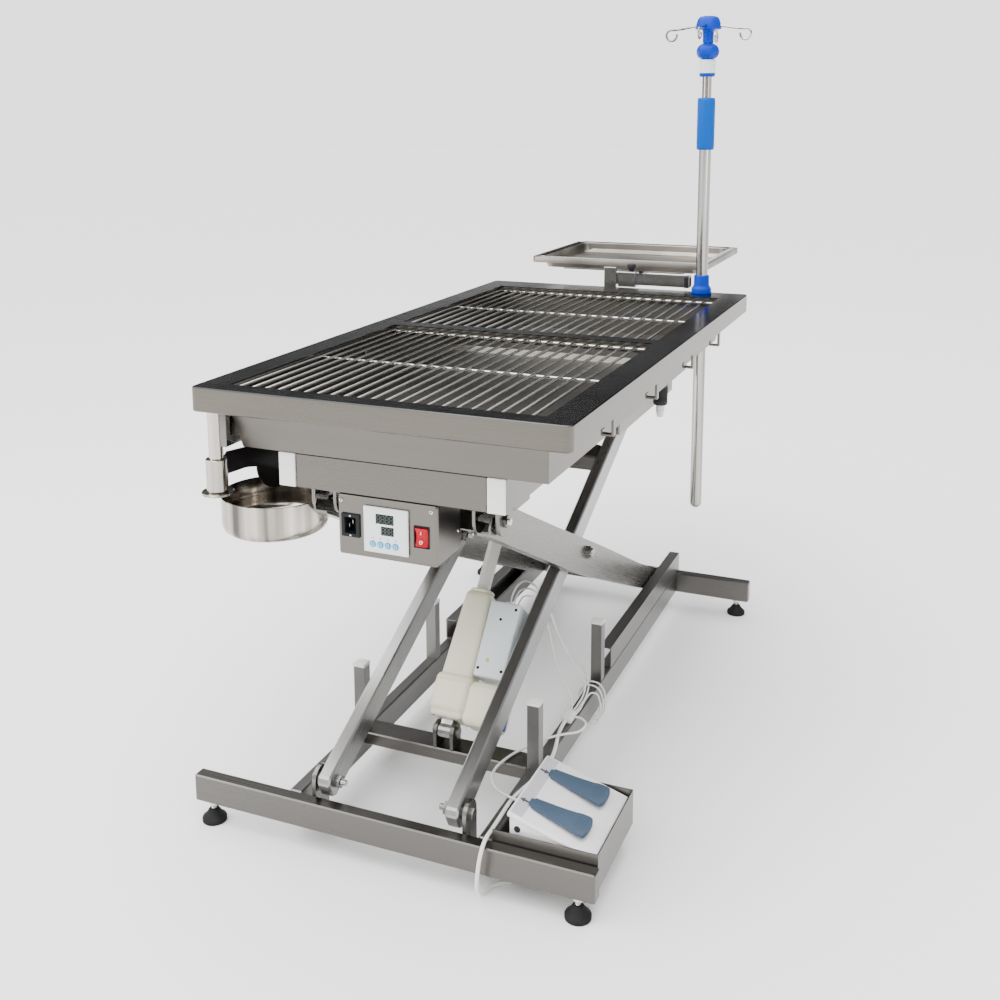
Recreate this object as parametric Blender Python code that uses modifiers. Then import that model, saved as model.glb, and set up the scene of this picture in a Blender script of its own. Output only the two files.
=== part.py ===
"""Lifting operating table for small animals, with drip pole, tray, bucket and foot switch.

A perforated table top over a washing basin stands on a scissor lift. The inner arms (A)
hinge on the base at the head end and carry the top frame on rollers at the foot end. The
outer arms (B) cross them. An electric actuator pushes the top frame up.

Metres, +Z up. X runs across the table and Y along it, from the end with the control box.
All lengths are given from that end (y = 0 at the near edge of the top), and the whole
model is shifted at the end so that its origin is the middle of its footprint.
"""
import math

import bmesh
import bpy
from mathutils import Matrix, Vector

# Driving dimensions.
TOP_WIDTH = 0.600
TOP_LENGTH = 1.184
BASIN_DEPTH = 0.0984                 # from the top frame to the underside of the top
SKIRT_HEIGHT = 0.0376
SIDE_BAND = 0.0475                   # flat band beside the openings
NEAR_BAND = 0.036
FAR_BAND = 0.078
DIVIDER_Y = (0.570, 0.605)
SHEET = 0.003
TRAY_REACH = 0.416                   # the tray's far rim beyond the top

GAP = 0.0003                         # clearance between pieces that touch
BORE_PLAY = 0.0003                   # radial clearance of a pin in its bore

TUBE_WIDE = 0.022                    # base tubes: 22 x 45 mm
TUBE_DEEP = 0.045
BASE_BOTTOM = 0.034
BASE_HALF_WIDTH = 0.3356
NEAR_BEAM_START = 0.0098
RAIL_START = 0.150
CHANNEL_DEEP = 0.0405

ARM_ANGLE = math.radians(25.5)
ARM_PIVOT_Y = 0.0508
ARM_PIVOT_RISE = 0.021               # arm A's hinge above the base
LOWER_ARM = 0.542                    # hinge to the crossing of the arms
UPPER_ARM = 0.4622                   # crossing to the upper hinge or roller
ARM_A_X = (0.097, 0.119)
ARM_B_X = (0.125, 0.147)
ROLLER_RADIUS = 0.0175
ROLLER_TRAVEL = 0.4162               # from the lower roller to the open end of its channel
PIN_RADIUS = 0.006

FRAME_RISE = 0.0337                  # frame above the upper hinge
FRAME_DEEP = 0.053
FRAME_X = (0.156, 0.185)

ACTUATOR_FOOT_Y = 0.247
ACTUATOR_FOOT_RISE = 0.025           # its lower hinge above the base
ACTUATOR_HEAD_AHEAD = 0.5172         # its upper hinge beyond the arms' upper hinge
ACTUATOR_HEAD_RISE = 0.010           # and above the frame's underside
ROD_RADIUS = 0.012

POLE_INSET_X, POLE_INSET_Y = 0.0987, 0.021
POLE_RADIUS = 0.013
INNER_POLE_RADIUS = 0.010

POST_INSET, POST_Y = 0.021, 0.030    # post that the bucket arm swings on
BUCKET_RADIUS = 0.0855

MAINS_DIAMETER = 0.006
PEDAL_LEAD_DIAMETER = 0.004

# Places that follow from them, as (y, z) for the lift.
COS_A, SIN_A = math.cos(ARM_ANGLE), math.sin(ARM_ANGLE)
BASE_TOP = BASE_BOTTOM + TUBE_DEEP
ARM_PIVOT = (ARM_PIVOT_Y, BASE_TOP + ARM_PIVOT_RISE)


def on_arm_a(along, across=0.0):
    """A point on arm A: distance from its hinge on the base, offset across the arm."""
    return (
        ARM_PIVOT[0] + along * COS_A - across * SIN_A,
        ARM_PIVOT[1] + along * SIN_A + across * COS_A,
    )


CROSSING = on_arm_a(LOWER_ARM)


def on_arm_b(along, across=0.0):
    """A point on arm B: distance from the crossing towards the floor, offset across the arm."""
    return (
        CROSSING[0] + along * COS_A + across * SIN_A,
        CROSSING[1] - along * SIN_A + across * COS_A,
    )


UPPER_ROLLER = on_arm_a(LOWER_ARM + UPPER_ARM)
UPPER_HINGE = on_arm_b(-UPPER_ARM)
LOWER_ROLLER = on_arm_b(LOWER_ARM)

NEAR_BEAM_Y = (NEAR_BEAM_START, NEAR_BEAM_START + TUBE_WIDE + GAP)
FAR_BEAM_Y = (LOWER_ROLLER[0] + 0.0892, LOWER_ROLLER[0] + 0.0892 + TUBE_WIDE + GAP)
RAIL_X = (RAIL_START, RAIL_START + TUBE_WIDE)
FRAME_BOTTOM = UPPER_HINGE[1] + FRAME_RISE
FRAME_TOP = FRAME_BOTTOM + FRAME_DEEP
FRAME_START = UPPER_HINGE[0] - 0.0655
FRAME_END = TOP_LENGTH - 0.084
BASIN_BOTTOM = FRAME_TOP + GAP
BASIN_TOP = BASIN_BOTTOM + BASIN_DEPTH
TOP_HEIGHT = BASIN_TOP + GAP + SHEET
HALF_TOP = TOP_WIDTH / 2
OPENING_HALF = HALF_TOP - SIDE_BAND
OPENINGS_Y = {"near": (NEAR_BAND, DIVIDER_Y[0]), "far": (DIVIDER_Y[1], TOP_LENGTH - FAR_BAND)}
ACTUATOR_FOOT = (ACTUATOR_FOOT_Y, BASE_TOP + ACTUATOR_FOOT_RISE)
ACTUATOR_HEAD = (UPPER_HINGE[0] + ACTUATOR_HEAD_AHEAD, FRAME_BOTTOM + ACTUATOR_HEAD_RISE)
POLE_X, POLE_Y = HALF_TOP - POLE_INSET_X, TOP_LENGTH - POLE_INSET_Y
POST_X = POST_INSET - HALF_TOP
FOOTPRINT_MIDDLE_Y = (TOP_LENGTH + TRAY_REACH) / 2


def clear_scene():
    for ob in list(bpy.data.objects):
        bpy.data.objects.remove(ob, do_unlink=True)


def new_collection(name):
    group = bpy.data.collections.new(name)
    bpy.context.scene.collection.children.link(group)
    return group


clear_scene()
PARTS = new_collection("operating_table")
TOOLS = new_collection("cutters")


def material(name, colour, metallic, roughness):
    made = bpy.data.materials.new(name)
    made.use_nodes = True
    shader = made.node_tree.nodes["Principled BSDF"]
    shader.inputs["Base Color"].default_value = (*colour, 1.0)
    shader.inputs["Metallic"].default_value = metallic
    shader.inputs["Roughness"].default_value = roughness
    made.diffuse_color = (*colour, 1.0)
    return made


STEEL = material("brushed_stainless", (0.55, 0.53, 0.50), 1.0, 0.32)
BRIGHT_STEEL = material("polished_steel", (0.72, 0.72, 0.72), 1.0, 0.18)
BASIN_STEEL = material("basin_stainless", (0.50, 0.49, 0.47), 1.0, 0.25)
RUBBER = material("black_rubber", (0.02, 0.02, 0.02), 0.0, 0.8)
CREAM = material("cream_housing", (0.80, 0.79, 0.70), 0.0, 0.45)
PALE_BLUE = material("pale_blue_housing", (0.72, 0.78, 0.82), 0.0, 0.45)
BLUE = material("blue_plastic", (0.03, 0.16, 0.62), 0.0, 0.4)
SLATE = material("slate_blue_pedal", (0.20, 0.27, 0.42), 0.0, 0.5)
WHITE = material("white_plastic", (0.85, 0.86, 0.86), 0.0, 0.45)
BLACK = material("black_plastic", (0.03, 0.03, 0.03), 0.0, 0.5)
RED = material("red_switch", (0.70, 0.03, 0.05), 0.0, 0.35)


def add_piece(name, mesh, finish, pivot=(0.0, 0.0, 0.0)):
    """Link a mesh drawn in table coordinates, with its origin moved to the pivot."""
    mesh.transform(Matrix.Translation(-Vector(pivot)))
    ob = bpy.data.objects.new(name, mesh)
    ob.location = pivot
    mesh.materials.append(finish)
    PARTS.objects.link(ob)
    return ob


def finish_mesh(bm, name):
    bmesh.ops.recalc_face_normals(bm, faces=bm.faces)
    mesh = bpy.data.meshes.new(name)
    bm.to_mesh(mesh)
    bm.free()
    return mesh


def round_edges(ob, width, segments=1):
    rounding = ob.modifiers.new("rounded_edges", "BEVEL")
    rounding.width = width
    rounding.segments = segments
    rounding.limit_method = "ANGLE"
    rounding.angle_limit = math.radians(40)
    return ob


def shade(ob, angle=35.0):
    ob.data.shade_smooth()
    ob.data.set_sharp_from_angle(angle=math.radians(angle))
    return ob


def add_box(bm, low, high):
    size = Vector(high) - Vector(low)
    middle = (Vector(high) + Vector(low)) / 2
    place = Matrix.Translation(middle) @ Matrix.Diagonal((*size, 1.0))
    bmesh.ops.create_cube(bm, size=1.0, matrix=place)


def block(name, low, high, finish, pivot=(0, 0, 0), edge=0.0, segments=1):
    """A block between two corners, in either order."""
    spans = [sorted(pair) for pair in zip(low, high)]
    bm = bmesh.new()
    add_box(bm, [span[0] for span in spans], [span[1] for span in spans])
    ob = add_piece(name, finish_mesh(bm, name), finish, pivot)
    return round_edges(ob, edge, segments) if edge else ob


def prism(name, outline, start, end, finish, pivot=(0, 0, 0), axis="X"):
    """An outline swept along an axis: (y, z) along X, (x, z) along Y, (x, y) along Z."""
    places = {
        "X": lambda a, b: Vector((start, a, b)),
        "Y": lambda a, b: Vector((a, start, b)),
        "Z": lambda a, b: Vector((a, b, start)),
    }
    travel = {"X": Vector((1, 0, 0)), "Y": Vector((0, 1, 0)), "Z": Vector((0, 0, 1))}[axis]
    bm = bmesh.new()
    face = bm.faces.new([bm.verts.new(places[axis](a, b)) for a, b in outline])
    swept = bmesh.ops.extrude_face_region(bm, geom=[face])
    moved = [item for item in swept["geom"] if isinstance(item, bmesh.types.BMVert)]
    bmesh.ops.translate(bm, vec=travel * (end - start), verts=moved)
    return add_piece(name, finish_mesh(bm, name), finish, pivot)


def cylinder(name, radius, start, end, finish, pivot=(0, 0, 0), sides=24, end_radius=None):
    start, end = Vector(start), Vector(end)
    along = end - start
    place = Matrix.Translation((start + end) / 2) @ along.to_track_quat("Z", "Y").to_matrix().to_4x4()
    bm = bmesh.new()
    bmesh.ops.create_cone(
        bm,
        cap_ends=True,
        segments=sides,
        radius1=radius,
        radius2=radius if end_radius is None else end_radius,
        depth=along.length,
        matrix=place,
    )
    return shade(add_piece(name, finish_mesh(bm, name), finish, pivot))


def turned(name, profile, centre, finish, steps=32, closed=False):
    """A profile of (radius, height) points, from the top down its outer side."""
    mesh = bpy.data.meshes.new(name)
    points = [(radius, 0.0, height) for radius, height in profile]
    edges = [(i, i + 1) for i in range(len(points) - 1)]
    if closed:
        edges.append((len(points) - 1, 0))
    mesh.from_pydata(points, edges, [])
    ob = bpy.data.objects.new(name, mesh)
    ob.location = (centre[0], centre[1], 0.0) if len(centre) == 2 else centre
    mesh.materials.append(finish)
    PARTS.objects.link(ob)
    spin = ob.modifiers.new("turned", "SCREW")
    spin.axis = "Z"
    spin.steps = steps
    spin.render_steps = steps
    spin.use_merge_vertices = True
    spin.merge_threshold = 0.00002
    spin.use_smooth_shade = True
    return ob


def wire(name, points, radius, finish, resolution=2, pivot=(0, 0, 0)):
    """A round wire along the points, as a mesh with welded caps."""
    curve = bpy.data.curves.new(name, "CURVE")
    curve.dimensions = "3D"
    curve.bevel_depth = radius
    curve.bevel_resolution = resolution
    curve.use_fill_caps = True
    line = curve.splines.new("POLY")
    line.points.add(len(points) - 1)
    for knot, point in zip(line.points, points):
        knot.co = (*point, 1.0)
    drawn = bpy.data.objects.new(name + "_line", curve)
    bpy.context.scene.collection.objects.link(drawn)
    bpy.context.view_layer.update()
    evaluated = drawn.evaluated_get(bpy.context.evaluated_depsgraph_get())
    mesh = bpy.data.meshes.new_from_object(evaluated)
    bpy.data.objects.remove(drawn, do_unlink=True)
    mesh.materials.clear()
    bm = bmesh.new()
    bm.from_mesh(mesh)
    bmesh.ops.remove_doubles(bm, verts=bm.verts, dist=0.00001)
    bm.to_mesh(mesh)
    bm.free()
    return shade(add_piece(name, mesh, finish, pivot), 50.0)


def use_as_cutter(ob):
    PARTS.objects.unlink(ob)
    TOOLS.objects.link(ob)
    ob.name = "tool_" + ob.name
    ob.display_type = "WIRE"
    ob.hide_render = True
    return ob


def combine(target, operation, others):
    for other in others:
        step = target.modifiers.new(operation.lower(), "BOOLEAN")
        step.operation = operation
        step.solver = "EXACT"
        step.object = use_as_cutter(other)
    return target


def join(target, *others):
    return combine(target, "UNION", others)


def cut(target, *others):
    return combine(target, "DIFFERENCE", others)


def rounded_plate(centre, radius, spread, turn, count=10):
    """Points of an arc about a centre, over an angle, starting at turn (degrees)."""
    return [
        (
            centre[0] + radius * math.cos(math.radians(turn + spread * i / count)),
            centre[1] + radius * math.sin(math.radians(turn + spread * i / count)),
        )
        for i in range(count + 1)
    ]


def smooth_route(knots, spacing):
    """Evenly spaced points on a Catmull-Rom curve through the knots."""
    knots = [Vector(knot) for knot in knots]
    ends = [2 * knots[0] - knots[1]] + knots + [2 * knots[-1] - knots[-2]]
    fine = []
    for a, b, c, d in zip(ends, ends[1:], ends[2:], ends[3:]):
        for step in range(24):
            t = step / 24
            fine.append(
                0.5
                * (
                    2 * b
                    + (c - a) * t
                    + (2 * a - 5 * b + 4 * c - d) * t * t
                    + (3 * b - 3 * c + d - a) * t * t * t
                )
            )
    fine.append(knots[-1])
    total = sum((q - p).length for p, q in zip(fine, fine[1:]))
    pieces = max(2, round(total / spacing))
    route, walked, wanted = [fine[0]], 0.0, total / pieces
    for p, q in zip(fine, fine[1:]):
        length = (q - p).length
        while length > 0 and walked + length >= wanted - 1e-9 and len(route) < pieces:
            route.append(p.lerp(q, (wanted - walked) / length))
            wanted += total / pieces
        walked += length
    route.append(fine[-1])
    return route


# Base: two cross beams, two rails on edge and a flat beam that carries the actuator.
near_beam = block(
    "base_near_beam",
    (-BASE_HALF_WIDTH, NEAR_BEAM_Y[0], BASE_BOTTOM),
    (BASE_HALF_WIDTH, NEAR_BEAM_Y[1], BASE_TOP),
    STEEL,
    edge=0.002,
)
far_beam = block(
    "base_far_beam",
    (-BASE_HALF_WIDTH, FAR_BEAM_Y[0], BASE_BOTTOM),
    (BASE_HALF_WIDTH, FAR_BEAM_Y[1], BASE_TOP),
    STEEL,
    edge=0.002,
)

STOP_POST_Y = {"left": (0.250, 0.530), "right": (0.237, 0.565)}
STOP_POST_TOP = BASE_TOP + 0.116
STOP_POST_X = (RAIL_X[0] + 0.001, RAIL_X[1] - 0.001)
CHANNEL_Y = (LOWER_ROLLER[0] - ROLLER_TRAVEL, FAR_BEAM_Y[1])
CHANNEL_BOTTOM = BASE_TOP + GAP
CHANNEL_TOP = CHANNEL_BOTTOM + CHANNEL_DEEP - 0.0001
CABLE_CLAMP_Y = (0.385, 0.415)

for side, s in (("left", -1), ("right", 1)):
    rail = block(
        f"base_rail_{side}",
        (s * RAIL_X[0], NEAR_BEAM_Y[1] + GAP, BASE_BOTTOM),
        (s * RAIL_X[1], FAR_BEAM_Y[0] - GAP, BASE_TOP),
        STEEL,
        edge=0.002,
    )
    for number, y in enumerate(STOP_POST_Y[side]):
        post = block(
            f"stop_post_{side}_{number}",
            (s * STOP_POST_X[0], y - 0.010, BASE_TOP - 0.006),
            (s * STOP_POST_X[1], y + 0.010, STOP_POST_TOP - 0.004),
            STEEL,
        )
        cap = block(
            f"stop_cap_{side}_{number}",
            (s * (STOP_POST_X[0] - 0.0007), y - 0.0107, STOP_POST_TOP - 0.005),
            (s * (STOP_POST_X[1] + 0.0007), y + 0.0107, STOP_POST_TOP),
            BRIGHT_STEEL,
        )
        join(rail, post, cap)
    if side == "right":
        clamp = block(
            "cable_clamp",
            (RAIL_X[0] + 0.0015, CABLE_CLAMP_Y[0], BASE_TOP - 0.004),
            (RAIL_X[1] - 0.0015, CABLE_CLAMP_Y[1], BASE_TOP + 0.013),
            WHITE,
            edge=0.003,
        )
        join(rail, clamp)

    # Channel that the lower roller runs in, open towards the middle.
    channel = block(
        f"lower_channel_{side}",
        (s * RAIL_X[0], CHANNEL_Y[0], CHANNEL_BOTTOM),
        (s * RAIL_X[1], CHANNEL_Y[1], CHANNEL_TOP),
        STEEL,
    )
    hollow = block(
        f"lower_channel_hollow_{side}",
        (s * (RAIL_X[0] - 0.01), CHANNEL_Y[0] - 0.01, CHANNEL_BOTTOM + 0.0022),
        (s * (RAIL_X[1] - 0.002), CHANNEL_Y[1] - 0.006, CHANNEL_TOP - 0.002),
        STEEL,
    )
    cut(channel, hollow)

# Flat beam between the rails, with the actuator's clevis and pin.
mid_beam = block(
    "base_mid_beam",
    (-RAIL_X[0] + GAP, ACTUATOR_FOOT_Y - 0.0172, BASE_TOP - TUBE_WIDE - GAP),
    (RAIL_X[0] - GAP, ACTUATOR_FOOT_Y + 0.0276, BASE_TOP),
    STEEL,
    edge=0.002,
)
foot_y, foot_z = ACTUATOR_FOOT
lug_outline = [(foot_y - 0.016, BASE_TOP - 0.004)]
lug_outline += [(foot_y + 0.016, BASE_TOP - 0.004)]
lug_outline += rounded_plate(ACTUATOR_FOOT, 0.016, 180, 0)
for s in (-1, 1):
    join(mid_beam, prism(f"clevis_plate_{s}", lug_outline, s * 0.0121, s * 0.0181, STEEL))
    join(
        mid_beam,
        cylinder(
            f"clevis_pin_head_{s}",
            0.009,
            (s * 0.0175, foot_y, foot_z),
            (s * 0.0225, foot_y, foot_z),
            BRIGHT_STEEL,
            sides=16,
        ),
    )
join(
    mid_beam,
    cylinder("clevis_pin", PIN_RADIUS, (-0.018, foot_y, foot_z), (0.018, foot_y, foot_z), BRIGHT_STEEL, sides=16),
)

# Levelling feet: rubber disc, cone, lock nut and stem.
FOOT_X = BASE_HALF_WIDTH - 0.0276
FOOT_PROFILE = [
    (0.0, BASE_BOTTOM - GAP),
    (0.0085, BASE_BOTTOM - GAP),
    (0.0085, BASE_BOTTOM - 0.0060),
    (0.0050, BASE_BOTTOM - 0.0060),
    (0.0050, BASE_BOTTOM - 0.0115),
    (0.0080, BASE_BOTTOM - 0.0130),
    (0.0120, BASE_BOTTOM - 0.0190),
    (0.0195, BASE_BOTTOM - 0.0260),
    (0.0195, 0.0),
    (0.0, 0.0),
]
for side, s in (("left", -1), ("right", 1)):
    for end, beam_y in (("near", NEAR_BEAM_Y), ("far", FAR_BEAM_Y)):
        turned(
            f"levelling_foot_{end}_{side}",
            FOOT_PROFILE,
            (s * FOOT_X, sum(beam_y) / 2),
            RUBBER,
            steps=16,
        )

# Brackets on the near beam that arm A hinges on, each with its pin.
pivot_y, pivot_z = ARM_PIVOT
bracket_outline = [
    (NEAR_BEAM_Y[1] + GAP, BASE_BOTTOM),
    (pivot_y + 0.0212, BASE_BOTTOM),
    (pivot_y + 0.0212, pivot_z - 0.004),
]
bracket_outline += rounded_plate((pivot_y + 0.0014, pivot_z), 0.0198, 180, 0)
for side, s in (("left", -1), ("right", 1)):
    bracket = prism(f"arm_bracket_{side}", bracket_outline, s * 0.1243, s * 0.1303, STEEL)
    tab = block(
        f"arm_bracket_tab_{side}",
        (s * 0.129, NEAR_BEAM_Y[1] + GAP, BASE_BOTTOM + 0.006),
        (s * 0.147, NEAR_BEAM_Y[1] + 0.004, BASE_TOP - 0.005),
        STEEL,
    )
    pin = cylinder(
        f"arm_pin_{side}",
        PIN_RADIUS,
        (s * 0.0915, pivot_y, pivot_z),
        (s * 0.128, pivot_y, pivot_z),
        BRIGHT_STEEL,
        sides=16,
    )
    head = cylinder(
        f"arm_pin_head_{side}",
        0.0095,
        (s * 0.1295, pivot_y, pivot_z),
        (s * 0.1363, pivot_y, pivot_z),
        BRIGHT_STEEL,
        sides=6,
    )
    nut = cylinder(
        f"arm_pin_nut_{side}",
        0.0105,
        (s * 0.0885, pivot_y, pivot_z),
        (s * 0.0966, pivot_y, pivot_z),
        BRIGHT_STEEL,
        sides=6,
    )
    washer = cylinder(
        f"arm_pin_washer_{side}",
        0.010,
        (s * 0.1193, pivot_y, pivot_z),
        (s * 0.125, pivot_y, pivot_z),
        BRIGHT_STEEL,
        sides=16,
    )
    join(bracket, tab, pin, head, nut, washer)

# Scissor arms: arm A is a rectangular tube with its pins and roller axle.
ARM_HALF_DEPTH = 0.0215
arm_length = LOWER_ARM + UPPER_ARM
arm_a_outline = [on_arm_a(-0.012, -ARM_HALF_DEPTH), on_arm_a(arm_length + 0.006, -ARM_HALF_DEPTH)]
arm_a_outline += [on_arm_a(arm_length + 0.020, -0.010), on_arm_a(arm_length + 0.020, 0.010)]
arm_a_outline += [on_arm_a(arm_length + 0.006, ARM_HALF_DEPTH), on_arm_a(-0.012, ARM_HALF_DEPTH)]
arm_a_outline += [on_arm_a(-0.020, 0.013), on_arm_a(-0.020, -0.013)]
ARM_A_PIVOT = (0.0, pivot_y, pivot_z)
for side, s in (("left", -1), ("right", 1)):
    arm = prism(
        f"arm_a_{side}", arm_a_outline, s * ARM_A_X[0], s * ARM_A_X[1], STEEL, pivot=ARM_A_PIVOT
    )
    round_edges(arm, 0.0025)
    cut(
        arm,
        cylinder(
            f"arm_a_hinge_bore_{side}",
            PIN_RADIUS + BORE_PLAY,
            (s * 0.09, *ARM_PIVOT),
            (s * 0.125, *ARM_PIVOT),
            STEEL,
            sides=16,
        ),
        cylinder(
            f"arm_a_middle_bore_{side}",
            0.008 + BORE_PLAY,
            (s * 0.09, *CROSSING),
            (s * 0.125, *CROSSING),
            STEEL,
            sides=16,
        ),
    )
    join(
        arm,
        cylinder(
            f"arm_a_spacer_{side}",
            0.009,
            (s * 0.1185, *UPPER_ROLLER),
            (s * 0.1282, *UPPER_ROLLER),
            BRIGHT_STEEL,
            sides=16,
        ),
        cylinder(
            f"arm_a_axle_{side}",
            PIN_RADIUS,
            (s * 0.1275, *UPPER_ROLLER),
            (s * 0.1505, *UPPER_ROLLER),
            BRIGHT_STEEL,
            sides=16,
        ),
    )

CROSS_A_ALONG = LOWER_ARM + 0.251
CROSS_A_HALF = 0.020
cross_outline = [
    on_arm_a(CROSS_A_ALONG + a * CROSS_A_HALF, b * CROSS_A_HALF)
    for a, b in ((-1, -1), (1, -1), (1, 1), (-1, 1))
]
arm_a_cross = prism(
    "arm_a_cross",
    cross_outline,
    -ARM_A_X[0] + GAP,
    ARM_A_X[0] - GAP,
    STEEL,
    pivot=ARM_A_PIVOT,
)
round_edges(arm_a_cross, 0.003)

# Rollers: nylon tyres on steel axles.
def roller(name, s, x0, x1, centre):
    wheel = cylinder(
        name,
        ROLLER_RADIUS - 0.0002,
        (s * x0, *centre),
        (s * x1, *centre),
        WHITE,
        pivot=(0.0, *centre),
        sides=20,
    )
    bore = cylinder(
        name + "_bore",
        PIN_RADIUS + BORE_PLAY,
        (s * (x0 - 0.01), *centre),
        (s * (x1 + 0.01), *centre),
        WHITE,
        sides=12,
    )
    return cut(wheel, bore)


for side, s in (("left", -1), ("right", 1)):
    roller(f"upper_roller_{side}", s, 0.1285, 0.1500, UPPER_ROLLER)
    roller(f"lower_roller_{side}", s, 0.1525, 0.1690, LOWER_ROLLER)

# Arms B: folded plates with a web outside and two flanges turned in.
PLATE = 0.003
ARM_B_TOP = [
    (-UPPER_ARM - 0.0265, 0.0003),
    (-UPPER_ARM + 0.0433, 0.0258),
    (-0.1770, 0.0227),
    (0.0730, 0.0212),
    (LOWER_ARM - 0.1484, 0.0156),
    (LOWER_ARM - 0.0083, 0.0193),
]
ARM_B_END = [
    (LOWER_ARM + 0.0042, 0.0209),
    (LOWER_ARM + 0.0144, 0.0157),
    (LOWER_ARM + 0.0201, 0.0062),
    (LOWER_ARM + 0.0203, -0.0058),
    (LOWER_ARM + 0.0147, -0.0151),
    (LOWER_ARM + 0.0027, -0.0270),
]
ARM_B_BOTTOM = [
    (LOWER_ARM - 0.0911, -0.0324),
    (0.1054, -0.0398),
    (-0.0816, -0.0404),
    (-UPPER_ARM - 0.0212, -0.0271),
]
arm_b_edge = ARM_B_TOP + ARM_B_END + ARM_B_BOTTOM + [(-UPPER_ARM - 0.0286, -0.0162)]
arm_b_outline = [on_arm_b(*point) for point in arm_b_edge]
inner_edge = [(-UPPER_ARM - 0.0602, -0.0197), (-UPPER_ARM + 0.0403, 0.0255 - PLATE * 1.67)]
inner_edge += [(along, across - PLATE) for along, across in ARM_B_TOP[2:]]
inner_edge += [(LOWER_ARM + 0.0590, 0.0176), (LOWER_ARM + 0.0795, -0.0255)]
inner_edge += [(along, across + PLATE) for along, across in ARM_B_BOTTOM[:3]]
inner_edge += [(-UPPER_ARM - 0.0589, -0.0224)]
arm_b_hollow = [on_arm_b(*point) for point in inner_edge]
ARM_B_PIVOT = (0.0, *CROSSING)
for side, s in (("left", -1), ("right", 1)):
    arm = prism(
        f"arm_b_{side}", arm_b_outline, s * ARM_B_X[0], s * ARM_B_X[1], STEEL, pivot=ARM_B_PIVOT
    )
    cut(
        arm,
        prism(f"arm_b_hollow_{side}", arm_b_hollow, s * 0.10, s * (ARM_B_X[1] - PLATE), STEEL),
        cylinder(
            f"arm_b_hinge_bore_{side}",
            PIN_RADIUS + BORE_PLAY,
            (s * 0.12, *UPPER_HINGE),
            (s * 0.16, *UPPER_HINGE),
            STEEL,
            sides=16,
        ),
    )
    join(
        arm,
        cylinder(
            f"arm_b_spacer_{side}", 0.013, (s * 0.1193, *CROSSING), (s * 0.145, *CROSSING), STEEL, sides=20
        ),
        cylinder(
            f"arm_b_bolt_{side}", 0.008, (s * 0.0900, *CROSSING), (s * 0.125, *CROSSING), STEEL, sides=16
        ),
        cylinder(
            f"arm_b_nut_{side}", 0.013, (s * 0.0875, *CROSSING), (s * 0.0966, *CROSSING), STEEL, sides=6
        ),
        cylinder(
            f"arm_b_head_{side}", 0.0125, (s * 0.1465, *CROSSING), (s * 0.154, *CROSSING), STEEL, sides=6
        ),
        cylinder(
            f"arm_b_axle_{side}",
            PIN_RADIUS,
            (s * 0.145, *LOWER_ROLLER),
            (s * 0.1695, *LOWER_ROLLER),
            STEEL,
            sides=16,
        ),
        cylinder(
            f"arm_b_axle_collar_{side}",
            0.010,
            (s * 0.146, *LOWER_ROLLER),
            (s * 0.1522, *LOWER_ROLLER),
            STEEL,
            sides=16,
        ),
    )

CROSS_B_ALONG = -UPPER_ARM + 0.0852
CROSS_B_HALF = 0.015
arm_b_cross_outline = [
    on_arm_b(CROSS_B_ALONG + a * CROSS_B_HALF, b * CROSS_B_HALF)
    for a, b in ((-1, -1), (1, -1), (1, 1), (-1, 1))
]
arm_b_cross = prism(
    "arm_b_cross",
    arm_b_cross_outline,
    -ARM_B_X[1] + PLATE + GAP,
    ARM_B_X[1] - PLATE - GAP,
    STEEL,
    pivot=ARM_B_PIVOT,
)

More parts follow.
